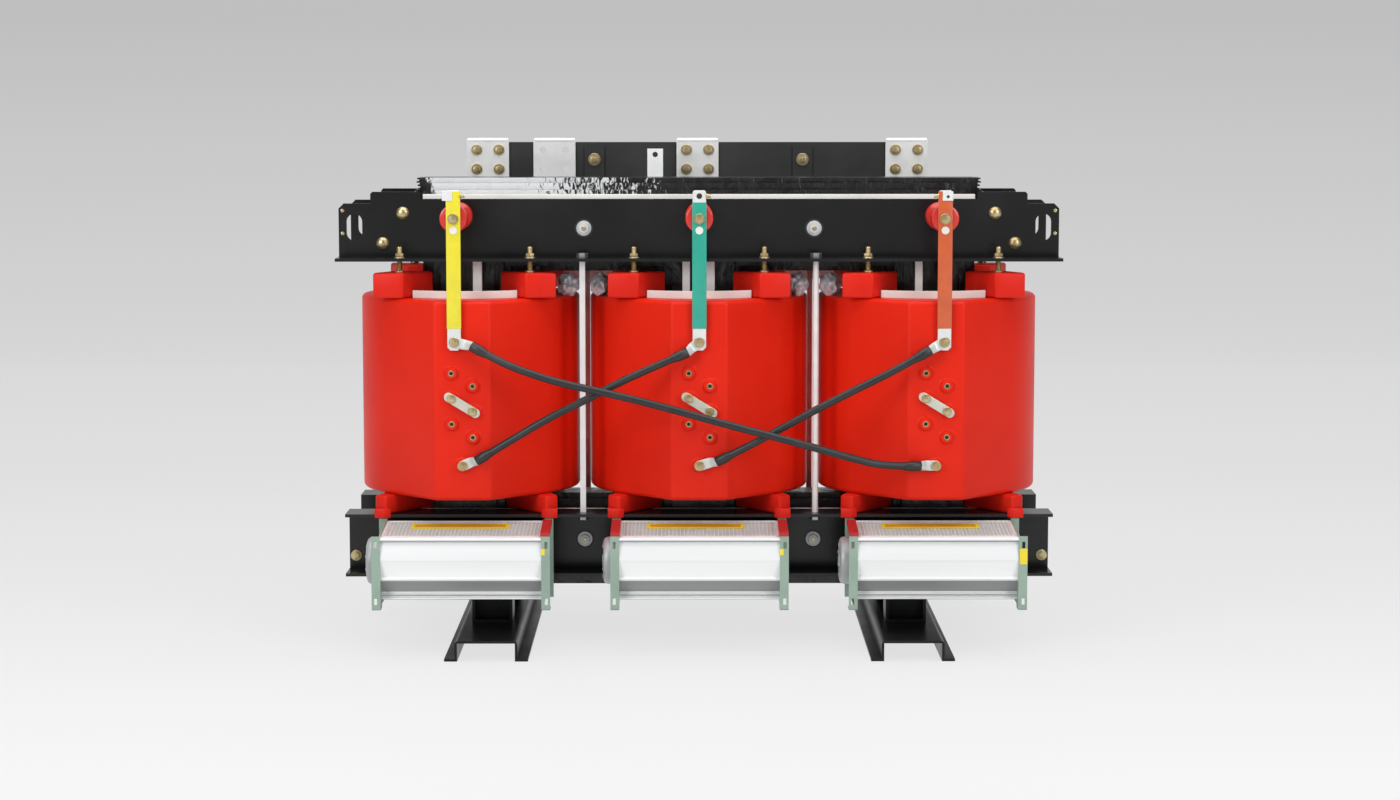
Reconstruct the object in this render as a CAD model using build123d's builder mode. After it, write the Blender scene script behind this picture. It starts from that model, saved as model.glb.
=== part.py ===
import math
import os

from build123d import *

os.makedirs("parts", exist_ok=True)

# Dry type transformer, three phases: X runs along the core, -Y is the high voltage side, +Z is up.
# Origin on the floor under the middle. Millimetres.

# Phases and core
pitch = 460.0
phase_x = (-pitch, 0.0, pitch)
top_yoke_z = 824.0
bottom_yoke_z = 189.0
packets = ((93.0, 0.0, 38.0), (83.0, 38.0, 58.0), (70.0, 58.0, 75.0), (53.0, 75.0, 90.0))
core_depth = packets[-1][2]

# High voltage coils
coil_r = 219.0
coil_bore_r = 165.0
coil_z0 = 295.0
coil_z1 = 685.0
boss_face_y = 256.0
boss_half = coil_r * math.sqrt(2) - boss_face_y
tangent_xy = coil_r / math.sqrt(2)
coil_edge_r = 7.0
terminal_top_z = 606.0
terminal_bottom_z = 365.0
terminal_x = (-14.0, 0.0, 14.0)
nub_base_r = 14.0
nub_tip_r = 11.0
nub_height = 7.0
insert_r = 6.0
insert_bore_r = 4.0
insert_depth = 22.0
tap_x = 20.5
tap_left_z = (545.0, 496.0, 446.0)
tap_right_z = (520.0, 471.0, 420.0)
nub_y = boss_face_y + nub_height

# Low voltage coils
lv_outer_r = 140.0
lv_inner_r = 113.0

# Clamps
plate_t = 6.0
board_t = 12.0
web_in_y = core_depth + board_t
web_y = web_in_y + plate_t
flange_y = 181.0
upper_half_x = 713.0
upper_z0 = 757.0
upper_z1 = 877.0
end_drop = 9.0
shoulder_x = 650.0
shoulder_rise = 14.0
lower_half_x = 699.0
lower_z0 = 134.0
lower_z1 = 258.0
lift_x = 682.0
lift_z = 821.0
lift_w = 31.0
lift_h = 53.0
yoke_bolt_x = 228.0
upper_bolt_z = 819.0
lower_bolt_z = 198.0
dome_far_inset = 127.0
dome_near_inset = 87.0
dome_high_drop = 28.0
dome_low_drop = 88.0
screw_inset = 8.0
screw_step = 24.0
earth_inset = 13.0
earth_rise = 31.0
board_z0 = 740.0
board_z1 = 886.0
board_half_x = 547.0

# Blocks and pressing bolts, as plan corners beside the coil axis
upper_block = ((120.0, 185.0), (181.0, 175.0), (143.0, 106.0), (66.0, 113.0))
lower_block = ((181.0, 168.0), (158.0, 186.0), (72.0, 77.0), (150.0, 77.0))
upper_block_h = 50.0
press_x = 128.0
press_y = 161.0
press_top_z = 786.0
press_r = 5.5
press_hole_r = 6.5
press_nut_r = 9.0
press_foot_r = 9.0
strip_r = 195.0
strip_t = 4.5
strip_h = 15.0
strip_half_chord = 103.0

# Insulators, bars and terminals
post_z = 844.0
post_r = 27.0
top_term_y = nub_y + 0.5
post_end_y = top_term_y
bar_t = 3.0
bar_w = 26.0
bar_top_z = 893.0
bar_end_z = 590.0
lug_t = 3.0

# Rails and pedestals
gauge_x = 410.0
rail_half_y = 370.0
rail_top_z = 40.0
rail_web = 121.0
rail_total = 161.0
rail_t = 5.0

# Low voltage plates
lv_plate_x = (-437.0, -299.0, -2.0, 432.0)
lv_w = 87.0
lv_top_z = 990.0
lv_y = 190.0
lv_t = 6.0
lv_hole_x = 46.0
lv_hole_z = (928.0, 968.0)
lv_hole_r = 6.5
beam_half_x = 430.0
beam_z0 = 912.0
beam_z1 = 984.0
beam_t = 5.0
bracket_x = 216.0
bracket_w = 40.0
bracket_clearance = 7.0
bracket_offset = 20.0
bracket_foot = 162.0
tab_x = -89.0
tab_w = 32.0
tab_t = 3.0
tab_top_z = 972.0
tab_overlap = 47.0
tab_hole_drop = 12.0
foot_z = 700.0

# Cross-flow fans
fan_half = 157.0
fan_axis_y = 255.0
fan_axis_z = 178.0
rotor_r = 38.0
shaft_r = 5.0
shaft_gap = 0.08
motor_r = 46.0
motor_out = 32.0
end_t = 2.0
wall_t = 2.0

# Delta cables
cable_d = 15.0


def save(shape, name):
    shape.label = name
    export_step(shape, "parts/" + name + ".step")
    print(name, len(shape.solids()), round(shape.volume / 1000.0, 1))


def box(x0, x1, y0, y1, z0, z1):
    with Locations(((x0 + x1) / 2, (y0 + y1) / 2, (z0 + z1) / 2)):
        Box(abs(x1 - x0), abs(y1 - y0), abs(z1 - z0))


def cut_box(x0, x1, y0, y1, z0, z1):
    with Locations(((x0 + x1) / 2, (y0 + y1) / 2, (z0 + z1) / 2)):
        Box(abs(x1 - x0), abs(y1 - y0), abs(z1 - z0), mode=Mode.SUBTRACT)


def along_y(x, z, y0, y1, r, mode=Mode.ADD):
    with Locations(Location((x, (y0 + y1) / 2, z), (90, 0, 0))):
        Cylinder(r, abs(y1 - y0), mode=mode)


def along_x(y, z, x0, x1, r, mode=Mode.ADD):
    with Locations(Location(((x0 + x1) / 2, y, z), (0, 90, 0))):
        Cylinder(r, abs(x1 - x0), mode=mode)


def along_z(x, y, z0, z1, r, mode=Mode.ADD):
    with Locations((x, y, (z0 + z1) / 2)):
        Cylinder(r, abs(z1 - z0), mode=mode)


def hex_y(x, z, y0, y1, r):
    with BuildSketch(Plane.XZ.offset(-max(y0, y1))) as hexagon:
        with Locations((x, z)):
            RegularPolygon(r, 6)
    extrude(hexagon.sketch, amount=abs(y1 - y0))


def hex_z(x, y, z0, z1, r):
    with BuildSketch(Plane.XY.offset(z0)) as hexagon:
        with Locations((x, y)):
            RegularPolygon(r, 6)
    extrude(hexagon.sketch, amount=z1 - z0)


# Core: each packet butts against its yoke, so the outer ones are longer legs.
for name, x in zip("abc", phase_x):
    with BuildPart() as leg:
        for half, y0, y1 in packets:
            if y0 == 0:
                box(x - half, x + half, -y1, y1, bottom_yoke_z + half, top_yoke_z - half)
            else:
                for side in (-1, 1):
                    box(x - half, x + half, side * y0, side * y1, bottom_yoke_z + half, top_yoke_z - half)
    save(leg.part, "core_leg_" + name)

for name, z in (("top_yoke", top_yoke_z), ("bottom_yoke", bottom_yoke_z)):
    with BuildPart() as yoke:
        for half, y0, y1 in packets:
            reach = pitch + half
            if y0 == 0:
                box(-reach, reach, -y1, y1, z - half, z + half)
            else:
                for side in (-1, 1):
                    box(-reach, reach, side * y0, side * y1, z - half, z + half)
    save(yoke.part, name)

# Upper clamps: a web with an outward foot flange and cut-back ends
for name, side in (("front", -1), ("rear", 1)):
    with BuildPart() as clamp:
        with BuildSketch(Plane.XZ.offset(-side * web_in_y)):
            with BuildLine():
                Polyline(
                    (-upper_half_x, upper_z0),
                    (upper_half_x, upper_z0),
                    (upper_half_x, upper_z1 - end_drop - 10),
                    (upper_half_x - 10, upper_z1 - end_drop),
                    (shoulder_x, upper_z1 - end_drop),
                    (shoulder_x, upper_z1 + shoulder_rise - 4),
                    (shoulder_x - 4, upper_z1 + shoulder_rise),
                    (board_half_x + 4, upper_z1 + shoulder_rise),
                    (board_half_x + 4, upper_z1),
                    (-board_half_x - 4, upper_z1),
                    (-board_half_x - 4, upper_z1 + shoulder_rise),
                    (4 - shoulder_x, upper_z1 + shoulder_rise),
                    (-shoulder_x, upper_z1 + shoulder_rise - 4),
                    (-shoulder_x, upper_z1 - end_drop),
                    (10 - upper_half_x, upper_z1 - end_drop),
                    (-upper_half_x, upper_z1 - end_drop - 10),
                    close=True,
                )
            make_face()
            with Locations((-lift_x, lift_z), (lift_x, lift_z)):
                SlotOverall(lift_h, lift_w, rotation=90, mode=Mode.SUBTRACT)
            with Locations((-yoke_bolt_x, upper_bolt_z), (yoke_bolt_x, upper_bolt_z)):
                Circle(8.3, mode=Mode.SUBTRACT)
        extrude(amount=-side * plate_t)
        box(-upper_half_x, upper_half_x, side * web_y, side * flange_y, upper_z0, upper_z0 + plate_t)
        for x in phase_x:
            for dx in (-press_x, press_x):
                along_z(x + dx, side * press_y, upper_z0 - 1, upper_z0 + plate_t + 1, press_hole_r, Mode.SUBTRACT)
    save(clamp.part, "upper_clamp_" + name)

# Lower clamps: channels open outwards
for name, side in (("front", -1), ("rear", 1)):
    with BuildPart() as clamp:
        with BuildSketch(Plane.XZ.offset(-side * web_in_y)):
            with Locations((0, (lower_z0 + lower_z1) / 2)):
                Rectangle(2 * lower_half_x, lower_z1 - lower_z0)
            with Locations((-yoke_bolt_x, lower_bolt_z), (yoke_bolt_x, lower_bolt_z)):
                Circle(8.3, mode=Mode.SUBTRACT)
        extrude(amount=-side * plate_t)
        box(-lower_half_x, lower_half_x, side * web_y, side * flange_y, lower_z0, lower_z0 + plate_t)
        box(-lower_half_x, lower_half_x, side * web_y, side * flange_y, lower_z1 - plate_t, lower_z1)
    save(clamp.part, "lower_clamp_" + name)

# Insulation boards between yoke and clamp, top and bottom in one group
with BuildPart() as board:
    for side in (-1, 1):
        for z0, z1, bolt_z in ((board_z0, board_z1, upper_bolt_z), (lower_z0, lower_z1, lower_bolt_z)):
            with BuildSketch(Plane.XZ.offset(-side * core_depth)):
                with Locations((0, (z0 + z1) / 2)):
                    Rectangle(2 * board_half_x, z1 - z0)
                with Locations((-yoke_bolt_x, bolt_z), (yoke_bolt_x, bolt_z)):
                    Circle(8.3, mode=Mode.SUBTRACT)
            extrude(amount=-side * board_t)
save(board.part, "yoke_boards")

# High voltage coils: a cast ring with a full height front boss and eight terminal nubs
for i, name in enumerate("abc"):
    x = phase_x[i]
    spots = [(terminal_x[i], terminal_top_z), (0.0, terminal_bottom_z)]
    spots += [(-tap_x, z) for z in tap_left_z]
    spots += [(tap_x, z) for z in tap_right_z]
    with BuildPart() as coil:
        with BuildSketch(Plane.XY.offset(coil_z0)):
            with Locations((x, 0)):
                Circle(coil_r)
            with BuildLine():
                Polyline(
                    (x - boss_half, -boss_face_y),
                    (x + boss_half, -boss_face_y),
                    (x + tangent_xy, -tangent_xy),
                    (x, 0),
                    (x - tangent_xy, -tangent_xy),
                    close=True,
                )
            make_face()
            with Locations((x, 0)):
                Circle(coil_bore_r, mode=Mode.SUBTRACT)
        extrude(amount=coil_z1 - coil_z0)
        rims = coil.edges().filter_by(lambda e: e.bounding_box().size.Z < 0.01)
        outer = [e for e in rims if abs(e.length - 2 * math.pi * coil_bore_r) > 1.0]
        fillet(outer, coil_edge_r)
        for dx, z in spots:
            with Locations(Location((x + dx, -boss_face_y - nub_height / 2, z), (90, 0, 0))):
                Cone(nub_base_r, nub_tip_r, nub_height)
        for dx, z in spots:
            along_y(x + dx, z, -nub_y - 1, -nub_y + insert_depth, insert_r, Mode.SUBTRACT)
    save(coil.part, "hv_coil_" + name)

    with BuildPart() as low:
        with BuildSketch(Plane.XY.offset(coil_z0)):
            with Locations((x, 0)):
                Circle(lv_outer_r)
                Circle(lv_inner_r, mode=Mode.SUBTRACT)
        extrude(amount=coil_z1 - coil_z0)
    save(low.part, "lv_coil_" + name)

# Threaded inserts of the taps and terminals
with BuildPart() as inserts:
    for i, x in enumerate(phase_x):
        spots = [(terminal_x[i], terminal_top_z), (0.0, terminal_bottom_z)]
        spots += [(-tap_x, z) for z in tap_left_z]
        spots += [(tap_x, z) for z in tap_right_z]
        for dx, z in spots:
            along_y(x + dx, z, -nub_y - 0.5, -nub_y + insert_depth, insert_r - 0.1)
            along_y(x + dx, z, -nub_y - 1, -nub_y + insert_depth + 1, insert_bore_r, Mode.SUBTRACT)
save(inserts.part, "tap_inserts")

# Tap links joining the middle pair, with their bolts in a separate group
link_y = nub_y + 0.5
link_z = (tap_left_z[1] + tap_right_z[1]) / 2
link_turn = math.degrees(math.atan2(tap_right_z[1] - tap_left_z[1], 2 * tap_x))
link_length = math.hypot(2 * tap_x, tap_left_z[1] - tap_right_z[1]) + 30.0
with BuildPart() as links:
    for x in phase_x:
        with BuildSketch(Plane.XZ.offset(link_y)):
            with Locations((x, link_z)):
                SlotOverall(link_length, 18.0, rotation=link_turn)
            with Locations((x - tap_x, tap_left_z[1]), (x + tap_x, tap_right_z[1])):
                Circle(4.2, mode=Mode.SUBTRACT)
        extrude(amount=3.0)
save(links.part, "tap_links")

with BuildPart() as link_bolts:
    for x in phase_x:
        for dx, z in ((-tap_x, tap_left_z[1]), (tap_x, tap_right_z[1])):
            hex_y(x + dx, z, -link_y - 3.0, -link_y - 9.0, 7.5)
            along_y(x + dx, z, -link_y - 3.0, -nub_y + 15, insert_bore_r - 0.1)
save(link_bolts.part, "tap_link_bolts")

# Support blocks
with BuildPart() as blocks:
    for x in phase_x:
        for side in (-1, 1):
            for hand in (-1, 1):
                with BuildSketch(Plane.XY.offset(coil_z1)):
                    with BuildLine():
                        Polyline(*[(x + hand * px, side * py) for px, py in upper_block], close=True)
                    make_face()
                extrude(amount=upper_block_h)
save(blocks.part, "upper_blocks")

with BuildPart() as blocks:
    for x in phase_x:
        for side in (-1, 1):
            for hand in (-1, 1):
                with BuildSketch(Plane.XY.offset(lower_z1)):
                    with BuildLine():
                        Polyline(*[(x + hand * px, side * py) for px, py in lower_block], close=True)
                    make_face()
                extrude(amount=coil_z0 - lower_z1)
save(blocks.part, "lower_blocks")

# Pressing bolts through the upper flange onto the blocks, each with a nut and a foot
block_top = coil_z1 + upper_block_h
with BuildPart() as press:
    for x in phase_x:
        for side in (-1, 1):
            for hand in (-1, 1):
                bx = x + hand * press_x
                by = side * press_y
                along_z(bx, by, block_top, block_top + 4, press_foot_r)
                along_z(bx, by, block_top, press_top_z, press_r)
                hex_z(bx, by, upper_z0 + plate_t, upper_z0 + plate_t + 9, press_nut_r)
save(press.part, "pressing_bolts")

# White arc strips standing on the coils
half_angle = math.degrees(math.asin(strip_half_chord / strip_r))
with BuildPart() as strips:
    for x in phase_x:
        with BuildSketch(Plane.XY.offset(coil_z1)):
            with BuildLine():
                mid = (x, 0)
                outer_arc = CenterArc(mid, strip_r, 270 - half_angle, 2 * half_angle)
                inner_arc = CenterArc(mid, strip_r - strip_t, 270 - half_angle, 2 * half_angle)
                Line(outer_arc @ 0, inner_arc @ 0)
                Line(outer_arc @ 1, inner_arc @ 1)
            make_face()
        extrude(amount=strip_h)
save(strips.part, "air_strips")

# Post insulators with a ribbed middle, their bars and front bolts
with BuildPart() as posts:
    for i, x in enumerate(phase_x):
        px = x + terminal_x[i]
        along_y(px, post_z, -web_y, -post_end_y, post_r - 5)
        along_y(px, post_z, -web_y, -web_y - 30, post_r)
        along_y(px, post_z, -web_y - 50, -web_y - 60, post_r)
        along_y(px, post_z, -web_y - 80, -web_y - 90, post_r)
        along_y(px, post_z, -post_end_y + 25, -post_end_y, post_r)
save(posts.part, "post_insulators")

bar_y = post_end_y
for i, name in enumerate("abc"):
    px = phase_x[i] + terminal_x[i]
    with BuildPart() as bar:
        box(px - bar_w / 2, px + bar_w / 2, -bar_y, -bar_y - bar_t, bar_end_z, bar_top_z)
        along_y(px, bar_top_z - 14, -bar_y + 1, -bar_y - bar_t - 1, 5.5, Mode.SUBTRACT)
        along_y(px, post_z, -bar_y + 1, -bar_y - bar_t - 1, 5.3, Mode.SUBTRACT)
        along_y(px, terminal_top_z, -top_term_y + 1, -top_term_y - bar_t - 1, 4.2, Mode.SUBTRACT)
    save(bar.part, "phase_bar_" + name)

with BuildPart() as heads:
    for i, x in enumerate(phase_x):
        px = x + terminal_x[i]
        hex_y(px, post_z, -bar_y - bar_t, -bar_y - bar_t - 8, 9.5)
save(heads.part, "insulator_bolts")

# Delta cables: each route is a list of points, the first and last inside the lug barrels
lug_y = top_term_y + bar_t
ta = (phase_x[0] + terminal_x[0], terminal_top_z)
tb = (phase_x[1] + terminal_x[1], terminal_top_z)
tc = (phase_x[2] + terminal_x[2], terminal_top_z)
ba = (phase_x[0], terminal_bottom_z)
bb = (phase_x[1], terminal_bottom_z)
bc = (phase_x[2], terminal_bottom_z)
routes = {
    1: [
        (-436.7, -278, 597.9),
        (-391.7, -290, 573.9),
        (-341.1, -302, 553.6),
        (-269.7, -309, 531.2),
        (-196.8, -310, 515.8),
        (-114.2, -309, 496.3),
        (-27.8, -309, 473.1),
        (55.0, -309, 449.8),
        (137.8, -310, 428.6),
        (216.9, -308, 406.9),
        (292.6, -300, 384.5),
        (359.2, -288, 366.5),
        (425.9, -276, 365.9),
    ],
    2: [
        (-25.8, -278, 586.2),
        (-83.6, -288, 562.0),
        (-149.1, -291, 533.2),
        (-214.9, -290, 498.3),
        (-288.3, -290, 463.4),
        (-360.2, -286, 420.1),
        (-428.9, -276, 378.0),
    ],
    3: [
        (443.3, -278, 589.8),
        (379.2, -288, 554.0),
        (304.0, -291, 517.6),
        (230.9, -290, 480.6),
        (142.2, -290, 432.1),
        (88.2, -286, 402.4),
        (36.1, -276, 375.8),
    ],
}
ends = {1: (ta, bc), 2: (tb, ba), 3: (tc, bb)}


def tube_path(points):
    radii = []
    for k in range(1, len(points) - 1):
        a = Vector(*points[k]) - Vector(*points[k - 1])
        b = Vector(*points[k + 1]) - Vector(*points[k])
        turn = math.radians(a.get_angle(b))
        radii.append(0.45 * min(a.length, b.length) / math.tan(turn / 2))
    print("radii", [round(r) for r in radii])
    return FilletPolyline(*points, radius=radii)


for number, points in routes.items():
    with BuildPart() as cable:
        with BuildLine() as line:
            tube_path(points)
        route = line.wires()[0]
        with BuildSketch(Plane(origin=route @ 0, z_dir=route % 0)):
            Circle(cable_d / 2)
        sweep(path=route)
    length = route.length
    section = math.pi * cable_d ** 2 / 4
    print("cable", number, round(length, 1), round(cable.part.volume / (section * length), 4))
    save(cable.part, "delta_cable_" + str(number))

# Crimp lugs: a flat palm under the terminal bolt and a barrel on the cable's end
with BuildPart() as lugs:
    for number, points in routes.items():
        for point, after, term in (
            (points[0], points[1], ends[number][0]),
            (points[-1], points[-2], ends[number][1]),
        ):
            start = Vector(*point)
            way = (Vector(*after) - start).normalized()
            plane = Plane(origin=start - way * 8.0, z_dir=way)
            with BuildSketch(plane):
                Circle(cable_d / 2 + 2.0)
            extrude(amount=8.0)
            with BuildSketch(plane.offset(8.0)):
                Circle(cable_d / 2 + 2.0)
                Circle(cable_d / 2 + 0.15, mode=Mode.SUBTRACT)
            extrude(amount=18.0)
            at_top = abs(term[1] - terminal_top_z) < 1.0
            seat = lug_y if at_top else top_term_y
            heading = math.degrees(math.atan2(point[2] - term[1], point[0] - term[0]))
            reach = math.hypot(point[0] - term[0], point[2] - term[1])
            palm = Plane(origin=(term[0], -seat, term[1]), x_dir=(math.cos(math.radians(heading)), 0,
                         math.sin(math.radians(heading))), z_dir=(0, -1, 0))
            depth = -point[1] - seat
            with BuildSketch(palm):
                with Locations((0, 0)):
                    Circle(10.0)
                with Locations(((reach - 4.0) / 2, 0)):
                    Rectangle(reach - 4.0, 17.0)
                with Locations((0, 0)):
                    Circle(4.2, mode=Mode.SUBTRACT)
            extrude(amount=lug_t)
            with BuildSketch(palm):
                with Locations((reach - 6.0, 0)):
                    Rectangle(5.0, 15.0)
            extrude(amount=depth + 2.0)
save(lugs.part, "cable_lugs")

with BuildPart() as nuts:
    for i, x in enumerate(phase_x):
        for tx, tz, seat in (
            (x + terminal_x[i], terminal_top_z, lug_y + lug_t),
            (x, terminal_bottom_z, top_term_y + lug_t),
        ):
            hex_y(tx, tz, -seat, -seat - 7.0, 7.5)
            along_y(tx, tz, -seat - 10.0, -nub_y + 15, insert_bore_r - 0.1)
save(nuts.part, "hv_terminal_bolts")

# Through bolts of both yokes and the tie rods between the clamps
with BuildPart() as bolts:
    for z in (upper_bolt_z, lower_bolt_z):
        for x in (-yoke_bolt_x, yoke_bolt_x):
            for side in (-1, 1):
                along_y(x, z, side * web_y, side * (web_y + 3), 15.0)
                hex_y(x, z, side * (web_y + 3), side * (web_y + 13), 11.5)
                along_y(x, z, side * (core_depth + 0.3), side * web_y, 8.0)
save(bolts.part, "yoke_bolts")

rod_x = pitch / 2
rod_y = 148.0
with BuildPart() as rods:
    for side in (-1, 1):
        box(-rod_x - 5.5, -rod_x + 5.5, side * rod_y - 5, side * rod_y + 5, lower_z1, upper_z0)
        along_z(rod_x, side * rod_y, lower_z1, upper_z0, 6.0)
save(rods.part, "tie_rods")

with BuildPart() as rod_nuts:
    for side in (-1, 1):
        for x in (-rod_x, rod_x):
            hex_z(x, side * rod_y, upper_z0 + plate_t, upper_z0 + plate_t + 9, 11.0)
            hex_z(x, side * rod_y, lower_z1 - plate_t - 9, lower_z1 - plate_t, 11.0)
save(rod_nuts.part, "tie_rod_nuts")

# Domed bolts and small screws on the upper clamps' ends
with BuildPart() as ends_part:
    for side in (-1, 1):
        for hand in (-1, 1):
            for x, z in (
                (upper_half_x - dome_far_inset, upper_z1 - dome_high_drop),
                (upper_half_x - dome_near_inset, upper_z1 - dome_low_drop),
            ):
                along_y(hand * x, z, side * web_y, side * (web_y + 3), 14.0)
                hex_y(hand * x, z, side * (web_y + 3), side * (web_y + 10), 9.5)
            for z in (lift_z + screw_step, lift_z - screw_step):
                along_y(hand * (upper_half_x - screw_inset), z, side * web_y, side * (web_y + 4), 4.0)
            hex_y(hand * (lower_half_x - earth_inset), lower_z0 + earth_rise, side * web_y, side * (web_y + 8), 9.0)
save(ends_part.part, "end_bolts")

# Rails: hat sections across the length, lips on the floor
for name, x in (("left", -gauge_x), ("right", gauge_x)):
    with BuildPart() as rail:
        with BuildSketch(Plane.XZ.offset(-rail_half_y)):
            with BuildLine():
                Polyline(
                    (x - rail_total / 2, 0),
                    (x - rail_web / 2 + rail_t, 0),
                    (x - rail_web / 2 + rail_t, rail_top_z - rail_t),
                    (x + rail_web / 2 - rail_t, rail_top_z - rail_t),
                    (x + rail_web / 2 - rail_t, 0),
                    (x + rail_total / 2, 0),
                    (x + rail_total / 2, rail_t),
                    (x + rail_web / 2, rail_t),
                    (x + rail_web / 2, rail_top_z),
                    (x - rail_web / 2, rail_top_z),
                    (x - rail_web / 2, rail_t),
                    (x - rail_total / 2, rail_t),
                    close=True,
                )
            make_face()
        extrude(amount=2 * rail_half_y)
        top_edges = [
            e for e in rail.edges().filter_by(Axis.Y)
            if abs(e.center().Z - rail_top_z) < 0.1
        ]
        fillet(top_edges, 8.0)
    save(rail.part, "rail_" + name)

with BuildPart() as pedestals:
    for x in (-gauge_x, gauge_x):
        for side in (-1, 1):
            box(x - 40, x + 40, side * 105, side * 175, rail_top_z, rail_top_z + 6)
            box(x - 40, x - 34, side * 105, side * 175, rail_top_z + 6, lower_z0)
            box(x + 34, x + 40, side * 105, side * 175, rail_top_z + 6, lower_z0)
            box(x - 34, x + 34, side * 137, side * 143, rail_top_z + 6, lower_z0)
save(pedestals.part, "foot_pedestals")

# Low voltage plates, each running down behind the clamp and in over its coil
lv_back = lv_y + lv_t
inner_y = 123.0


def plate_with_holes(x):
    box(x - lv_w / 2, x + lv_w / 2, lv_y, lv_back, 900.0, lv_top_z)
    for dx in (-lv_hole_x / 2, lv_hole_x / 2):
        for z in lv_hole_z:
            along_y(x + dx, z, lv_y - 1, lv_back + 1, lv_hole_r, Mode.SUBTRACT)


def lead_foot(x0, x1, out_y):
    box(x0, x1, inner_y, out_y, foot_z, foot_z + lv_t)
    box(x0, x1, inner_y, inner_y + lv_t, coil_z1, foot_z)


for name, x, plate_x in zip("abc", phase_x, lv_plate_x[1:]):
    neck = x + (-20.0 if name == "c" else 5.0)
    with BuildPart() as plate:
        plate_with_holes(plate_x)
        if name == "a":
            box(plate_x - lv_w / 2, plate_x + lv_w / 2, lv_y, lv_back, 745.0, 900.0)
            box(neck, plate_x, lv_y, lv_back, 745.0, 785.0)
        else:
            box(plate_x - lv_w / 2, plate_x + lv_w / 2, lv_y, lv_back, 745.0, 900.0)
        box(neck, neck + 35.0, lv_y, lv_back, foot_z, 746.0)
        lead_foot(neck, neck + 35.0, lv_back)
    save(plate.part, "lv_terminal_" + name)

star_y = lv_back + 6.0
with BuildPart() as neutral:
    plate_with_holes(lv_plate_x[0])
    box(lv_plate_x[0] - lv_w / 2, lv_plate_x[0] + lv_w / 2, lv_y, lv_back, 800.0, 900.0)
    box(-pitch - 60, lv_plate_x[0], lv_y, lv_back, 800.0, 840.0)
    box(-pitch - 60, -pitch - 30, lv_y, lv_back, foot_z, 801.0)
    for x in phase_x:
        lead_foot(x - 60, x - 30, star_y + lv_t)
    box(-pitch - 60, pitch - 30, star_y, star_y + lv_t, foot_z, foot_z + 36)
save(neutral.part, "lv_neutral_bar")

with BuildPart() as beam:
    box(-beam_half_x, beam_half_x, lv_back, lv_back + beam_t, beam_z0, beam_z1)
    box(-beam_half_x, beam_half_x, lv_back, lv_back + 40, beam_z0, beam_z0 + beam_t)
    for x in (-bracket_x, bracket_x):
        along_y(x, (beam_z0 + beam_z1) / 2, lv_back - 1, lv_back + beam_t + 1, 6.3, Mode.SUBTRACT)
    for x in lv_plate_x:
        for dx in (-lv_hole_x / 2, lv_hole_x / 2):
            for z in lv_hole_z:
                if abs(x + dx) < beam_half_x - 8:
                    along_y(x + dx, z, lv_back - 1, lv_back + beam_t + 1, lv_hole_r, Mode.SUBTRACT)
save(beam.part, "lv_support_beam")

with BuildPart() as brackets:
    for x in (-bracket_x, bracket_x):
        x0 = x - bracket_w / 2
        x1 = x + bracket_w / 2
        flange_top = upper_z0 + plate_t
        strap_y = lv_back - bracket_offset
        box(x0, x1, strap_y, lv_back, flange_top, beam_z0 - bracket_clearance)
        box(x0, x1, lv_back - 5, lv_back, beam_z0 - bracket_clearance, beam_z1 - 9)
        box(x0, x1, bracket_foot, strap_y, flange_top, flange_top + 6)
        along_y(x, (beam_z0 + beam_z1) / 2, lv_back - 7, lv_back + 1, 6.3, Mode.SUBTRACT)
save(brackets.part, "beam_brackets")

with BuildPart() as fixings:
    for x in (-bracket_x, bracket_x):
        z = (beam_z0 + beam_z1) / 2
        hex_y(x, z, lv_back - 5, lv_back - 13, 9.5)
        along_y(x, z, lv_back - 5, lv_back + beam_t, 6.0)
        hex_y(x, z, lv_back + beam_t, lv_back + beam_t + 9, 9.5)
    for k in (0, 2, 3):
        x = lv_plate_x[k]
        for dx in (-lv_hole_x / 2, lv_hole_x / 2):
            for z in lv_hole_z:
                hex_y(x + dx, z, lv_y, lv_y - 7, 9.0)
                along_y(x + dx, z, lv_y, lv_back, lv_hole_r - 0.4)
save(fixings.part, "terminal_bolts")

with BuildPart() as tab:
    box(tab_x - tab_w / 2, tab_x + tab_w / 2, web_y, web_y + tab_t, upper_z1 - tab_overlap, tab_top_z)
    along_y(tab_x, tab_top_z - tab_hole_drop, web_y - 1, web_y + tab_t + 1, 5.5, Mode.SUBTRACT)
save(tab.part, "earthing_tab")

# Cross-flow fans, three each side: housing, two end plates, motor, grille and rotor
front_wall = [(328.0, 230.0), (328.0, 190.0), (319.0, 168.0), (322.0, 147.0), (300.0, 114.0)]
floor_wall = [(296.0, 110.0), (196.0, 110.0), (186.0, 126.0), (186.0, 242.7)]
inner_walls = [(188.0, 242.7), (188.0, 127.0), (197.0, 112.0), (295.0, 112.0), (298.5, 115.3),
               (320.0, 147.2), (317.0, 168.2), (326.0, 190.5), (326.0, 230.0)]
shell = front_wall + floor_wall + inner_walls
end_plate = [(330.0, 93.0), (330.0, 236.0), (183.0, 250.0), (183.0, 93.0)]
with BuildPart() as housings:
    for side in (-1, 1):
        for x in phase_x:
            with BuildSketch(Plane.YZ.offset(x - fan_half + end_t)):
                with BuildLine():
                    Polyline(*[(side * py, pz) for py, pz in shell], close=True)
                make_face()
            extrude(amount=2 * (fan_half - end_t))
save(housings.part, "fan_housings")

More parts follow.
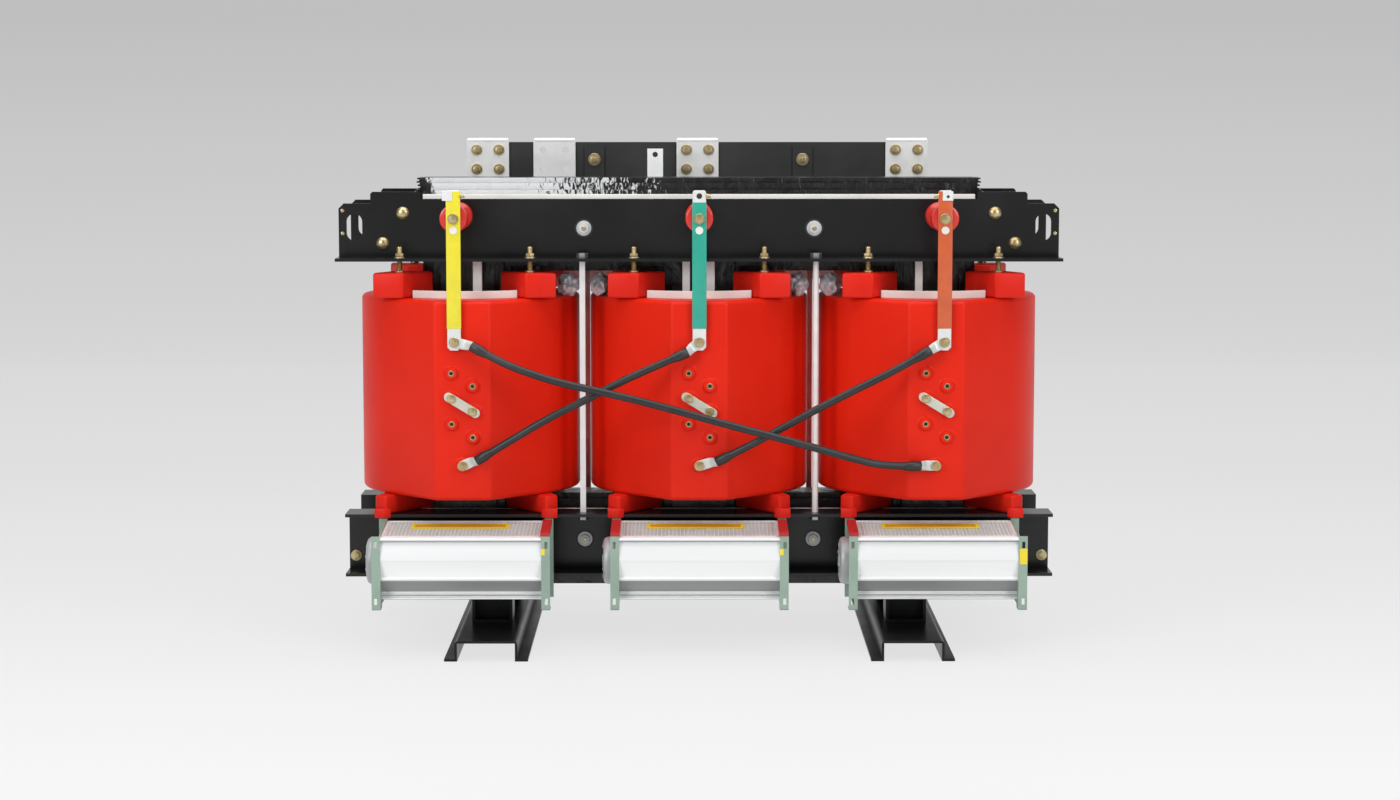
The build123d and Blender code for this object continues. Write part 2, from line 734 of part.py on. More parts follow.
number = 0
for side in (-1, 1):
    for x in phase_x:
        number = number + 1
        x0 = x - fan_half
        x1 = x + fan_half
        with BuildPart() as rotor:
            along_x(side * fan_axis_y, fan_axis_z, x0 - 4, x1 + 4, shaft_r)
            for rx in (x0 + 12, x, x1 - 15):
                along_x(side * fan_axis_y, fan_axis_z, rx, rx + 3, rotor_r)
            for k in range(12):
                turn = math.radians(30 * k)
                by = side * fan_axis_y + (rotor_r - 6) * math.cos(turn)
                bz = fan_axis_z + (rotor_r - 6) * math.sin(turn)
                with Locations(Location((x, by, bz), (30 * k, 0, 0))):
                    Box(x1 - x0 - 24, 10.0, 1.5)
        save(rotor.part, "fan_rotor_" + str(number))

with BuildPart() as end_plates:
    for side in (-1, 1):
        for x in phase_x:
            for hand in (-1, 1):
                xe = x + hand * fan_half
                with BuildSketch(Plane.YZ.offset(xe - end_t if hand > 0 else xe)):
                    with BuildLine():
                        Polyline(*[(side * py, pz) for py, pz in end_plate], close=True)
                    make_face()
                    with Locations((side * fan_axis_y, fan_axis_z)):
                        Circle(shaft_r + shaft_gap, mode=Mode.SUBTRACT)
                extrude(amount=end_t)
                inner = xe
                outer = xe + hand * 14
                box(inner, outer, side * 328, side * 330, 93.0, 236.0)
                box(inner, outer, side * flange_y, side * 183, 93.0, 250.0)
                box(xe - hand * end_t, xe, side * flange_y, side * 183, 93.0, 250.0)
save(end_plates.part, "fan_end_plates")

with BuildPart() as motors:
    for side in (-1, 1):
        for x in phase_x:
            x0 = x - fan_half
            along_x(side * fan_axis_y, fan_axis_z, x0 - motor_out, x0, motor_r)
            along_x(side * fan_axis_y, fan_axis_z, x0 - 6, x0 + 1, shaft_r + shaft_gap, Mode.SUBTRACT)
save(motors.part, "fan_motors")

with BuildPart() as grilles:
    for side in (-1, 1):
        for x in phase_x:
            x0 = x - fan_half + end_t
            x1 = x + fan_half - end_t
            with BuildSketch(Plane.YZ.offset(x0)):
                with BuildLine():
                    Polyline(
                        (side * 328, 230),
                        (side * 186, 243),
                        (side * 186, 245),
                        (side * 328, 232),
                        close=True,
                    )
                make_face()
            extrude(amount=x1 - x0)
            step = (x1 - x0 - 4) / 8
            for k in range(8):
                gx = x0 + 2 + step * (k + 0.5)
                cut_box(gx - step / 2 + 4, gx + step / 2 - 4, side * 205, side * 310, 225, 250)
save(grilles.part, "fan_grilles")
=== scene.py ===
import math

import bmesh
import bpy
from mathutils import Matrix, Vector, noise


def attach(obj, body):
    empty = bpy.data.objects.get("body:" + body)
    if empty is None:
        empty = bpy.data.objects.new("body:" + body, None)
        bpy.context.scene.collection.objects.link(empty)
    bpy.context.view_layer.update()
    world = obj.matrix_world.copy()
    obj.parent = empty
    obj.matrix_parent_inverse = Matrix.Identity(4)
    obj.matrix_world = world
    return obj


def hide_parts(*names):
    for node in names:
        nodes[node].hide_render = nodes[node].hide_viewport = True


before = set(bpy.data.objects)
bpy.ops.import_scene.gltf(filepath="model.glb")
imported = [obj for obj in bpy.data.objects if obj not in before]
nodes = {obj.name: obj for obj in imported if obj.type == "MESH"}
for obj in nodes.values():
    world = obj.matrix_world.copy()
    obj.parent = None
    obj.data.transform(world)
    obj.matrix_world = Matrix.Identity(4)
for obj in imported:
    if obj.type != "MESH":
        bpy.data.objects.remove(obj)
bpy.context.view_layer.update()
print("frame loaded", len(nodes))

# Camera
camera = {
    "place": (-0.0229, -5.884, 1.0847),
    "turn": (83.995, 0.0, -0.246),
    "lens": 74.98,
}
cameraData = bpy.data.cameras.new("viewCamera")
cameraData.lens = camera["lens"]
cameraData.clip_end = 60.0
cameraObject = bpy.data.objects.new("viewCamera", cameraData)
cameraObject.location = camera["place"]
cameraObject.rotation_euler = [math.radians(a) for a in camera["turn"]]
bpy.context.scene.collection.objects.link(cameraObject)
bpy.context.scene.camera = cameraObject
print("camera placed")


# Node helpers: an input takes either a value or another node's output
def fill(tree, node, inputs):
    for slot, value in inputs.items():
        if isinstance(value, bpy.types.NodeSocket):
            tree.links.new(value, node.inputs[slot])
        else:
            node.inputs[slot].default_value = value


def addNode(tree, kind, inputs=None, **options):
    node = tree.nodes.new(kind)
    for label, value in options.items():
        setattr(node, label, value)
    fill(tree, node, inputs or {})
    return node


def mathNode(tree, operation, first, second):
    return addNode(tree, "ShaderNodeMath", {0: first, 1: second}, operation=operation).outputs[0]


def rangeNode(tree, value, low, high, toLow=0.0, toHigh=1.0):
    inputs = {"Value": value, "From Min": low, "From Max": high, "To Min": toLow, "To Max": toHigh}
    return addNode(tree, "ShaderNodeMapRange", inputs).outputs[0]


def mixNode(tree, share, first, second, blend="MIX"):
    inputs = {0: share, 6: first, 7: second}
    return addNode(tree, "ShaderNodeMix", inputs, data_type="RGBA", blend_type=blend).outputs[2]


def noiseNode(tree, place, scale, detail=2.0, distortion=0.0):
    inputs = {"Vector": place, "Scale": scale, "Detail": detail, "Distortion": distortion}
    return addNode(tree, "ShaderNodeTexNoise", inputs).outputs["Fac"]


def stretchedPlace(tree, scale, lean=0.0):
    place = addNode(tree, "ShaderNodeTexCoord").outputs["Object"]
    inputs = {"Vector": place, "Rotation": (0.0, lean, 0.0), "Scale": scale}
    return addNode(tree, "ShaderNodeMapping", inputs).outputs[0]


def axesOf(tree, kind, output):
    vector = addNode(tree, kind).outputs[output]
    return addNode(tree, "ShaderNodeSeparateXYZ", {0: vector}).outputs


def newGroup(name, sockets):
    group = bpy.data.node_groups.new(name, "ShaderNodeTree")
    for label, way, kind, value in sockets:
        socket = group.interface.new_socket(name=label, in_out=way, socket_type="NodeSocket" + kind)
        if value is not None:
            socket.default_value = value
    return group, addNode(group, "NodeGroupInput").outputs, addNode(group, "NodeGroupOutput")


# Every finish: patches of a second tone, a spread of roughness and a fine grain
finish, given, result = newGroup("surfaceFinish", [
    ("Clean Color", "INPUT", "Color", (0.5, 0.5, 0.5, 1.0)),
    ("Worn Color", "INPUT", "Color", (0.4, 0.4, 0.4, 1.0)),
    ("Roughness", "INPUT", "Float", 0.4),
    ("Spread", "INPUT", "Float", 0.1),
    ("Patch Scale", "INPUT", "Float", 8.0),
    ("Grain Scale", "INPUT", "Float", 300.0),
    ("Grain Depth", "INPUT", "Float", 0.1),
    ("Stretch", "INPUT", "Vector", (1.0, 1.0, 1.0)),
    ("Color", "OUTPUT", "Color", None),
    ("Roughness", "OUTPUT", "Float", None),
    ("Normal", "OUTPUT", "Vector", None),
])
place = stretchedPlace(finish, given["Stretch"])
patch = noiseNode(finish, place, given["Patch Scale"], 5.0)
grain = noiseNode(finish, place, given["Grain Scale"], 3.0)
worn = rangeNode(finish, patch, 0.42, 0.72)
centred = mathNode(finish, "SUBTRACT", patch, 0.5)
spread = mathNode(finish, "MULTIPLY", centred, given["Spread"])
grainBump = {"Height": grain, "Strength": given["Grain Depth"], "Distance": 0.001}
fill(finish, result, {
    "Color": mixNode(finish, worn, given["Clean Color"], given["Worn Color"]),
    "Roughness": mathNode(finish, "ADD", spread, given["Roughness"]),
    "Normal": addNode(finish, "ShaderNodeBump", grainBump).outputs[0],
})

# Core: sheet edges under creased resin
lamination, given, result = newGroup("laminationEdges", [
    ("Sheet Scale", "INPUT", "Float", 700.0),
    ("Crease Scale", "INPUT", "Float", 14.0),
    ("Normal", "INPUT", "Vector", None),
    ("Normal", "OUTPUT", "Vector", None),
])
squeezed = stretchedPlace(lamination, (0.004, 1.0, 0.004))
slanted = stretchedPlace(lamination, (1.6, 1.0, 0.5), 0.5)
sheets = noiseNode(lamination, squeezed, given["Sheet Scale"])
crease = noiseNode(lamination, slanted, given["Crease Scale"], 6.0, 1.4)
bumped = given["Normal"]
for height, strength, distance in ((sheets, 0.35, 0.0012), (crease, 0.5, 0.012)):
    bump = {"Height": height, "Strength": strength, "Distance": distance, "Normal": bumped}
    bumped = addNode(lamination, "ShaderNodeBump", bump).outputs[0]
fill(lamination, result, {"Normal": bumped})

# Top yoke's front: a painted reflection, bright silver on the black, solid at the left, creased in the
# middle and gone at the right
paintedReflection, given, result = newGroup("paintedYokeReflection", [
    ("Color", "INPUT", "Color", (0.01, 0.01, 0.01, 1.0)),
    ("Painted Reflection Color", "INPUT", "Color", (0.78, 0.79, 0.80, 1.0)),
    ("Color", "OUTPUT", "Color", None),
])
spot = axesOf(paintedReflection, "ShaderNodeTexCoord", "Object")
facing = axesOf(paintedReflection, "ShaderNodeNewGeometry", "Normal")
along = rangeNode(paintedReflection, spot["X"], -0.36, -0.05, 1.0, 0.0)
crease = noiseNode(paintedReflection, stretchedPlace(paintedReflection, (1.5, 1.0, 0.55), 0.45), 62.0, 5.0, 1.8)
centred = mathNode(paintedReflection, "SUBTRACT", crease, 0.5)
swing = mathNode(paintedReflection, "ADD", along, mathNode(paintedReflection, "MULTIPLY", centred, 3.4))
tilted = mathNode(paintedReflection, "ADD", spot["X"], mathNode(paintedReflection, "MULTIPLY", spot["Z"], 0.35))
cut = mathNode(paintedReflection, "ADD", tilted, mathNode(paintedReflection, "MULTIPLY", centred, 0.05))
# share of the painted reflection
share = mathNode(paintedReflection, "MAXIMUM", rangeNode(paintedReflection, swing, 0.42, 0.72), rangeNode(paintedReflection, along, 0.84, 0.97))
for limit in (
    rangeNode(paintedReflection, cut, -0.220, -0.214),
    rangeNode(paintedReflection, along, 0.02, 0.12),
    mathNode(paintedReflection, "LESS_THAN", facing["Y"], -0.5),
    mathNode(paintedReflection, "GREATER_THAN", spot["Z"], 0.86),
):
    share = mathNode(paintedReflection, "MULTIPLY", share, limit)
fill(paintedReflection, result, {"Color": mixNode(paintedReflection, share, given["Color"], given["Painted Reflection Color"])})


def makeMaterial(name, settings):
    material = bpy.data.materials.new(name)
    material.use_nodes = True
    tree = material.node_tree
    worn = addNode(tree, "ShaderNodeGroup", {
        "Clean Color": (*settings["color"], 1.0),
        "Worn Color": (*settings["worn"], 1.0),
        "Roughness": settings["rough"],
        "Spread": settings.get("spread", 0.12),
        "Patch Scale": settings.get("patch", 8.0),
        "Grain Scale": settings["grain"],
        "Grain Depth": settings["depth"],
        "Stretch": settings.get("stretch", (1.0, 1.0, 1.0)),
    }, node_tree=finish).outputs
    color = worn["Color"]
    normal = worn["Normal"]
    # painted reflection on the top yoke's front
    if settings.get("paintsReflection"):
        color = addNode(tree, "ShaderNodeGroup", {"Color": color}, node_tree=paintedReflection).outputs[0]
    if settings.get("downFacingShade"):  # painted shade: faces that look down are darker
        facing = axesOf(tree, "ShaderNodeNewGeometry", "Normal")["Z"]
        paintedShadeFactor = rangeNode(tree, facing, -0.64, -0.24, settings["downFacingShade"], 1.0)
        color = mixNode(tree, 1.0, color, paintedShadeFactor, "MULTIPLY")
    if settings.get("laminated"):
        normal = addNode(tree, "ShaderNodeGroup", {"Normal": normal}, node_tree=lamination).outputs[0]
    fill(tree, tree.nodes["Principled BSDF"], {
        "Base Color": color,
        "Roughness": worn["Roughness"],
        "Normal": normal,
        "Metallic": settings.get("metallic", 0.0),
        "Specular IOR Level": settings.get("specular", 0.5),
        "Coat Weight": settings.get("coat", 0.0),
        "Coat Roughness": 0.1,
    })
    return material


looks = {
    "castRed": {"color": (0.74, 0.020, 0.006), "worn": (0.67, 0.016, 0.005), "rough": 0.4,
                "spread": 0.16, "patch": 5.0, "grain": 90.0, "depth": 0.06, "coat": 0.03,
                "specular": 0.14},
    "blockRed": {"color": (0.70, 0.018, 0.008), "worn": (0.62, 0.014, 0.007), "rough": 0.4,
                 "specular": 0.16, "patch": 14.0, "grain": 220.0, "depth": 0.12},
    "insulatorRed": {"color": (0.60, 0.022, 0.014), "worn": (0.50, 0.014, 0.010), "rough": 0.3,
                     "patch": 18.0, "grain": 260.0, "depth": 0.06, "coat": 0.3},
    "clampBlack": {"color": (0.008, 0.008, 0.0085), "worn": (0.013, 0.013, 0.014), "rough": 0.24,
                   "spread": 0.14, "patch": 6.0, "grain": 130.0, "depth": 0.07, "specular": 0.4},
    "railBlack": {"color": (0.007, 0.007, 0.007), "worn": (0.012, 0.012, 0.012), "rough": 0.34,
                  "specular": 0.25, "spread": 0.2, "patch": 9.0, "grain": 150.0, "depth": 0.08},
    "coreBlack": {"color": (0.010, 0.010, 0.011), "worn": (0.018, 0.018, 0.018), "rough": 0.22,
                  "spread": 0.2, "patch": 9.0, "grain": 200.0, "depth": 0.05, "laminated": True},
    # top yoke: core black with a painted reflection on its front
    "yokePaintedReflection": {"color": (0.010, 0.010, 0.011), "worn": (0.020, 0.020, 0.020), "rough": 0.24,
                    "spread": 0.2, "patch": 9.0, "grain": 200.0, "depth": 0.05, "laminated": True,
                    "paintsReflection": True},
    "beamBlack": {"color": (0.020, 0.020, 0.021), "worn": (0.032, 0.032, 0.033), "rough": 0.42,
                  "spread": 0.2, "patch": 9.0, "grain": 160.0, "depth": 0.08},
    "boardWhite": {"color": (0.78, 0.77, 0.73), "worn": (0.68, 0.67, 0.62), "rough": 0.6,
                   "patch": 12.0, "grain": 260.0, "depth": 0.1},
    "foilResin": {"color": (0.36, 0.24, 0.11), "worn": (0.26, 0.17, 0.08), "rough": 0.4,
                  "patch": 10.0, "grain": 120.0, "depth": 0.1},
    "jacketBlack": {"color": (0.016, 0.017, 0.018), "worn": (0.026, 0.027, 0.028), "rough": 0.4,
                    "patch": 22.0, "grain": 400.0, "depth": 0.06},
    "zincYellow": {"color": (0.62, 0.52, 0.30), "worn": (0.50, 0.36, 0.16), "rough": 0.34,
                   "metallic": 0.9, "patch": 60.0, "grain": 500.0, "depth": 0.06},
    "brassInsert": {"color": (0.66, 0.50, 0.24), "worn": (0.50, 0.35, 0.14), "rough": 0.3,
                    "metallic": 1.0, "patch": 70.0, "grain": 500.0, "depth": 0.05},
    "zincGrey": {"color": (0.55, 0.56, 0.57), "worn": (0.42, 0.43, 0.44), "rough": 0.34,
                 "metallic": 0.9, "patch": 50.0, "grain": 420.0, "depth": 0.06},
    "paleTin": {"color": (0.80, 0.80, 0.79), "worn": (0.71, 0.71, 0.70), "rough": 0.45,
                "metallic": 0.25, "patch": 26.0, "grain": 320.0, "depth": 0.06},
    "washerPale": {"color": (0.68, 0.69, 0.68), "worn": (0.56, 0.57, 0.56), "rough": 0.4,
                   "metallic": 0.4, "patch": 50.0, "grain": 420.0, "depth": 0.06},
    "linkTin": {"color": (0.62, 0.62, 0.52), "worn": (0.52, 0.52, 0.42), "rough": 0.42,
                "metallic": 0.3, "patch": 26.0, "grain": 320.0, "depth": 0.06},
    "lugTin": {"color": (0.66, 0.69, 0.67), "worn": (0.54, 0.57, 0.55), "rough": 0.42,
               "metallic": 0.3, "patch": 26.0, "grain": 320.0, "depth": 0.06},
    "foilSilver": {"color": (0.74, 0.78, 0.82), "worn": (0.40, 0.43, 0.46), "rough": 0.35,
                   "metallic": 0.15, "patch": 45.0, "grain": 130.0, "depth": 0.5},
    # white as a painted highlight on the plate lips and the earthing tab
    "paintedHighlightWhite": {"color": (0.90, 0.90, 0.90), "worn": (0.84, 0.84, 0.84), "rough": 0.4,
                 "patch": 26.0, "grain": 320.0, "depth": 0.04},
    "tapeRed": {"color": (0.45, 0.02, 0.02), "worn": (0.36, 0.016, 0.016), "rough": 0.45,
                "patch": 30.0, "grain": 260.0, "depth": 0.05},
    "sleeveYellow": {"color": (0.80, 0.70, 0.03), "worn": (0.72, 0.62, 0.03), "rough": 0.35,
                     "patch": 30.0, "grain": 260.0, "depth": 0.07, "coat": 0.2},
    "sleeveGreen": {"color": (0.025, 0.37, 0.27), "worn": (0.020, 0.31, 0.23), "rough": 0.35,
                    "patch": 30.0, "grain": 260.0, "depth": 0.07, "coat": 0.2},
    "sleeveRed": {"color": (0.60, 0.11, 0.032), "worn": (0.52, 0.09, 0.028), "rough": 0.35,
                  "patch": 30.0, "grain": 260.0, "depth": 0.07, "coat": 0.2},
    # fan sheet: painted shade on the faces that look down
    "fanSheet": {"color": (0.88, 0.89, 0.89), "worn": (0.82, 0.83, 0.83), "rough": 0.4,
                 "metallic": 0.12, "downFacingShade": 0.34, "patch": 9.0, "grain": 340.0, "depth": 0.05,
                 "stretch": (0.12, 1.0, 1.0)},
    "fanPlate": {"color": (0.31, 0.42, 0.34), "worn": (0.26, 0.35, 0.29), "rough": 0.42,
                 "metallic": 0.2, "patch": 14.0, "grain": 240.0, "depth": 0.06},
    "fanBlade": {"color": (0.42, 0.43, 0.44), "worn": (0.32, 0.33, 0.34), "rough": 0.4,
                 "metallic": 0.8, "patch": 20.0, "grain": 300.0, "depth": 0.05},
    "motorGrey": {"color": (0.46, 0.47, 0.48), "worn": (0.36, 0.37, 0.38), "rough": 0.45,
                  "metallic": 0.3, "patch": 16.0, "grain": 260.0, "depth": 0.08},
    "fanGuard": {"color": (0.80, 0.80, 0.78), "worn": (0.70, 0.70, 0.68), "rough": 0.42,
                 "metallic": 0.1, "patch": 16.0, "grain": 300.0, "depth": 0.05},
    "stripYellow": {"color": (0.88, 0.68, 0.03), "worn": (0.80, 0.62, 0.03), "rough": 0.45,
                    "patch": 30.0, "grain": 260.0, "depth": 0.05},
    "stripOrange": {"color": (0.70, 0.33, 0.03), "worn": (0.60, 0.27, 0.03), "rough": 0.45,
                    "patch": 30.0, "grain": 260.0, "depth": 0.05},
    # dark discs that stand in for holes: painted shade
    "paintedHoleShade": {"color": (0.02, 0.014, 0.010), "worn": (0.03, 0.02, 0.012), "rough": 0.6,
                 "patch": 30.0, "grain": 260.0, "depth": 0.05},
}
materials = {name: makeMaterial(name, settings) for name, settings in looks.items()}
print("materials", len(materials))

# What each CAD node that stays in view is made of
nodeLooks = {
    # the top yoke's look carries a painted reflection
    "core_leg": "coreBlack", "top_yoke": "yokePaintedReflection", "bottom_yoke": "coreBlack",
    "upper_clamp": "clampBlack", "lower_clamp": "clampBlack", "lv_coil": "foilResin",
    "tie_rods": "paleTin", "tie_rod_nuts": "zincGrey", "rail_": "railBlack",
    "foot_pedestals": "railBlack", "fan_rotor": "fanBlade", "lv_terminal": "paleTin",
    "lv_neutral": "paleTin", "lv_support_beam": "beamBlack", "beam_brackets": "beamBlack",
    # earthing tab: white as a painted highlight
    "earthing_tab": "paintedHighlightWhite",
}
for name, node in nodes.items():
    start = max((key for key in nodeLooks if name.startswith(key)), key=len, default=None)
    if start:
        node.data.materials.clear()
        node.data.materials.append(materials[nodeLooks[start]])


# Piece helpers
def soften(bm, edges, offset, steps, profile=0.5):
    return bmesh.ops.bevel(bm, geom=edges, offset=offset, segments=steps, affect="EDGES",
                           profile=profile, material=-1)


def edgesOf(verts):
    return list({edge for vert in verts for edge in vert.link_edges})


def addBox(bm, low, high, bevel=0.0, steps=2):
    verts = bmesh.ops.create_cube(bm, size=1.0)["verts"]
    bmesh.ops.scale(bm, vec=[b - a for a, b in zip(low, high)], verts=verts)
    bmesh.ops.translate(bm, vec=[(a + b) / 2 for a, b in zip(low, high)], verts=verts)
    if bevel:
        soften(bm, edgesOf(verts), bevel, steps)


def standOn(base, axis):
    turn = Vector((0, 0, 1)).rotation_difference(Vector(axis)).to_matrix().to_4x4()
    return Matrix.Translation(Vector(base)) @ turn


def pour(bm, part):
    mesh = bpy.data.meshes.new("part")
    part.to_mesh(mesh)
    part.free()
    bm.from_mesh(mesh)
    bpy.data.meshes.remove(mesh)


# A profile of radius and height, spun about its axis
def addTurned(bm, profile, base, axis, segments=40, closed=False):
    stand = standOn(base, axis)
    turned = bmesh.new()
    verts = [turned.verts.new(stand @ Vector((radius, 0.0, height))) for radius, height in profile]
    edges = [turned.edges.new(pair) for pair in zip(verts, verts[1:])]
    if closed:
        edges.append(turned.edges.new((verts[-1], verts[0])))
    bmesh.ops.spin(turned, geom=verts + edges, cent=base, axis=axis, angle=2 * math.pi, steps=segments,
                   use_merge=True)
    bmesh.ops.remove_doubles(turned, verts=turned.verts, dist=1e-5)  # closes the poles
    pour(bm, turned)


def addDisc(bm, base, axis, radius, height, segments):
    addTurned(bm, ((0.0, 0.0), (radius, 0.0), (radius, height), (0.0, height)), base, axis, segments)


# Rings of the same number of points, joined point to point
def addLoft(bm, sections, closed=False):
    rings = [[bm.verts.new(place) for place in section] for section in sections]
    count = len(rings[0])
    for one, two in zip(rings, rings[1:] + rings[:1] if closed else rings[1:]):
        for k in range(count):
            after = (k + 1) % count
            bm.faces.new((one[k], one[after], two[after], two[k]))
    if not closed:
        bm.faces.new(rings[0])
        bm.faces.new(rings[-1])


# How an outline's own two directions and its extrusion lie in the part
def inPlan(a, b, c):
    return Vector((a, b, c))


def inSide(a, b, c):
    return Vector((c, a, b))


def inFront(a, b, c):
    return Vector((a, c, b))


def addPrism(bm, outline, low, high, place, bevel=0.0, steps=2):
    ring = [bm.verts.new(place(a, b, low)) for a, b in outline]
    grown = bmesh.ops.extrude_face_region(bm, geom=[bm.faces.new(ring)])
    top = [item for item in grown["geom"] if isinstance(item, bmesh.types.BMVert)]
    bmesh.ops.translate(bm, vec=place(0, 0, high) - place(0, 0, low), verts=top)
    if bevel:
        soften(bm, edgesOf(ring + top), bevel, steps)


def addPiece(name, bm, look, replaced=(), sharp=32.0):
    bmesh.ops.recalc_face_normals(bm, faces=bm.faces)
    limit = math.radians(sharp)
    for edge in bm.edges:
        edge.smooth = len(edge.link_faces) == 2 and edge.calc_face_angle(0.0) < limit
    for face in bm.faces:
        face.smooth = True
    mesh = bpy.data.meshes.new(name)
    bm.to_mesh(mesh)
    bm.free()
    mesh.materials.append(materials[look])
    piece = bpy.data.objects.new(name, mesh)
    bpy.context.scene.collection.objects.link(piece)
    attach(piece, "transformer")
    if replaced:
        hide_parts(*replaced)


# Delta cables
cableDiameter = 0.015
cableRoutes = {
    1: [
        (-0.4367, -0.2780, 0.5979),
        (-0.3917, -0.2900, 0.5739),
        (-0.3411, -0.3020, 0.5536),
        (-0.2697, -0.3090, 0.5312),
        (-0.1968, -0.3100, 0.5158),
        (-0.1142, -0.3090, 0.4963),
        (-0.0278, -0.3090, 0.4731),
        (0.0550, -0.3090, 0.4498),
        (0.1378, -0.3100, 0.4286),
        (0.2169, -0.3080, 0.4069),
        (0.2926, -0.3000, 0.3845),
        (0.3592, -0.2880, 0.3665),
        (0.4259, -0.2760, 0.3659),
    ],
    2: [
        (-0.0258, -0.2780, 0.5862),
        (-0.0836, -0.2880, 0.5620),
        (-0.1491, -0.2910, 0.5332),
        (-0.2149, -0.2900, 0.4983),
        (-0.2883, -0.2900, 0.4634),
        (-0.3602, -0.2860, 0.4201),
        (-0.4289, -0.2760, 0.3780),
    ],
    3: [
        (0.4433, -0.2780, 0.5898),
        (0.3792, -0.2880, 0.5540),
        (0.3040, -0.2910, 0.5176),
        (0.2309, -0.2900, 0.4806),
        (0.1422, -0.2900, 0.4321),
        (0.0882, -0.2860, 0.4024),
        (0.0361, -0.2760, 0.3758),
    ],
}
for number, points in cableRoutes.items():
    curve = bpy.data.curves.new("deltaCable" + str(number), "CURVE")
    curve.dimensions = "3D"
    curve.bevel_depth = cableDiameter / 2
    curve.bevel_resolution = 6
    curve.resolution_u = 12
    curve.use_fill_caps = True
    spline = curve.splines.new("NURBS")
    spline.points.add(len(points) - 1)
    for point, place in zip(spline.points, points):
        point.co = (*place, 1.0)
    spline.order_u = 3
    spline.use_endpoint_u = True
    curve.materials.append(materials["jacketBlack"])
    piece = bpy.data.objects.new("deltaCable" + str(number), curve)
    bpy.context.scene.collection.objects.link(piece)
    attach(piece, "transformer")
    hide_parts("delta_cable_" + str(number))
print("cables laid")

# Cast coils: a ring with a full height boss on the high voltage side
coil = {"radius": 0.219, "bore": 0.165, "low": 0.295, "high": 0.685, "face": 0.256,
        "edge": 0.009, "soft": 0.004, "corner": 0.012, "columns": 0.0205, "terminalTop": 0.606,
        "terminalBottom": 0.365}
phaseX = (-0.46, 0.0, 0.46)
terminalShift = (-0.014, 0.0, 0.014)
tapHeights = ((-1, 0.545), (-1, 0.496), (-1, 0.446), (1, 0.520), (1, 0.471), (1, 0.420))


def arcPoints(centre, radius, start, turn, steps):
    angles = [math.radians(start + turn * k / steps) for k in range(steps + 1)]
    return [(centre[0] + radius * math.cos(a), centre[1] + radius * math.sin(a)) for a in angles]


# The boss is tangent to the ring at 45 degrees on both sides and has round corners
def coilOutline(inset):
    radius = coil["radius"] - inset
    face = coil["face"] - inset
    corner = coil["corner"]
    reach = radius * math.sqrt(2) - face - corner * math.tan(math.radians(22.5))
    return (arcPoints((0.0, 0.0), radius, -45, 270, 96)
            + arcPoints((-reach, corner - face), corner, -135, 45, 6)
            + arcPoints((reach, corner - face), corner, -90, 45, 6))


def addCoil(bm, x):
    edge = coil["edge"]
    soft = coil["soft"]
    levels = arcPoints((edge, coil["low"] + edge), edge, -90, -90, 5)
    levels += arcPoints((edge, coil["high"] - edge), edge, 180, -90, 5)
    sections = [[(x + a, b, z) for a, b in coilOutline(inset)] for inset, z in levels]
    turns = [math.atan2(b, a) for a, b in coilOutline(0.0)]
    for radius, z in ((coil["bore"] + soft, coil["high"]), (coil["bore"], coil["high"] - soft),
                      (coil["bore"], coil["low"] + soft), (coil["bore"] + soft, coil["low"])):
        sections.append([(x + radius * math.cos(t), radius * math.sin(t), z) for t in turns])
    addLoft(bm, sections, closed=True)


def spotsOf(index):
    spots = [(terminalShift[index], coil["terminalTop"]), (0.0, coil["terminalBottom"])]
    return spots + [(side * coil["columns"], z) for side, z in tapHeights]


nub = ((0.0165, 0.0), (0.0145, 0.0008), (0.0125, 0.003), (0.0112, 0.0062), (0.0104, 0.007),
       (0.0062, 0.007), (0.0060, 0.0045), (0.0, 0.0045))
insert = ((0.0036, 0.0046), (0.0036, 0.0074), (0.0040, 0.0078), (0.0056, 0.0078), (0.0060, 0.0074),
          (0.0060, 0.0046))
for index, letter in enumerate("abc"):
    bm = bmesh.new()
    addCoil(bm, phaseX[index])
    for shift, z in spotsOf(index):
        addTurned(bm, nub, (phaseX[index] + shift, -coil["face"], z), (0, -1, 0), 28)
    addPiece("castCoil" + letter.upper(), bm, "castRed", ("hv_coil_" + letter,))
bm = bmesh.new()
# dark discs in the inserts: painted shade of their threaded holes
holeShades = bmesh.new()
for index in range(3):
    for shift, z in spotsOf(index):
        base = (phaseX[index] + shift, -coil["face"], z)
        addTurned(bm, insert, base, (0, -1, 0), 24, closed=True)
        addTurned(holeShades, ((0.0035, 0.0046), (0.0035, 0.0052), (0.0, 0.0052)), base, (0, -1, 0), 16)
addPiece("threadedInserts", bm, "brassInsert", ("tap_inserts",))
addPiece("insertHoleShades", holeShades, "paintedHoleShade")
print("coils")

# Boards between yokes and clamps; their lower ends finish flush with the clamp
boards = {"half": 0.547, "inner": 0.0905, "outer": 0.1015, "spans": ((0.7585, 0.886), (0.134, 0.258))}
bm = bmesh.new()
for side in (-1, 1):
    faces = sorted((side * boards["inner"], side * boards["outer"]))
    for low, high in boards["spans"]:
        addBox(bm, (-boards["half"], faces[0], low), (boards["half"], faces[1], high), 0.0006, 1)
addPiece("yokeBoards", bm, "boardWhite", ("yoke_boards",))

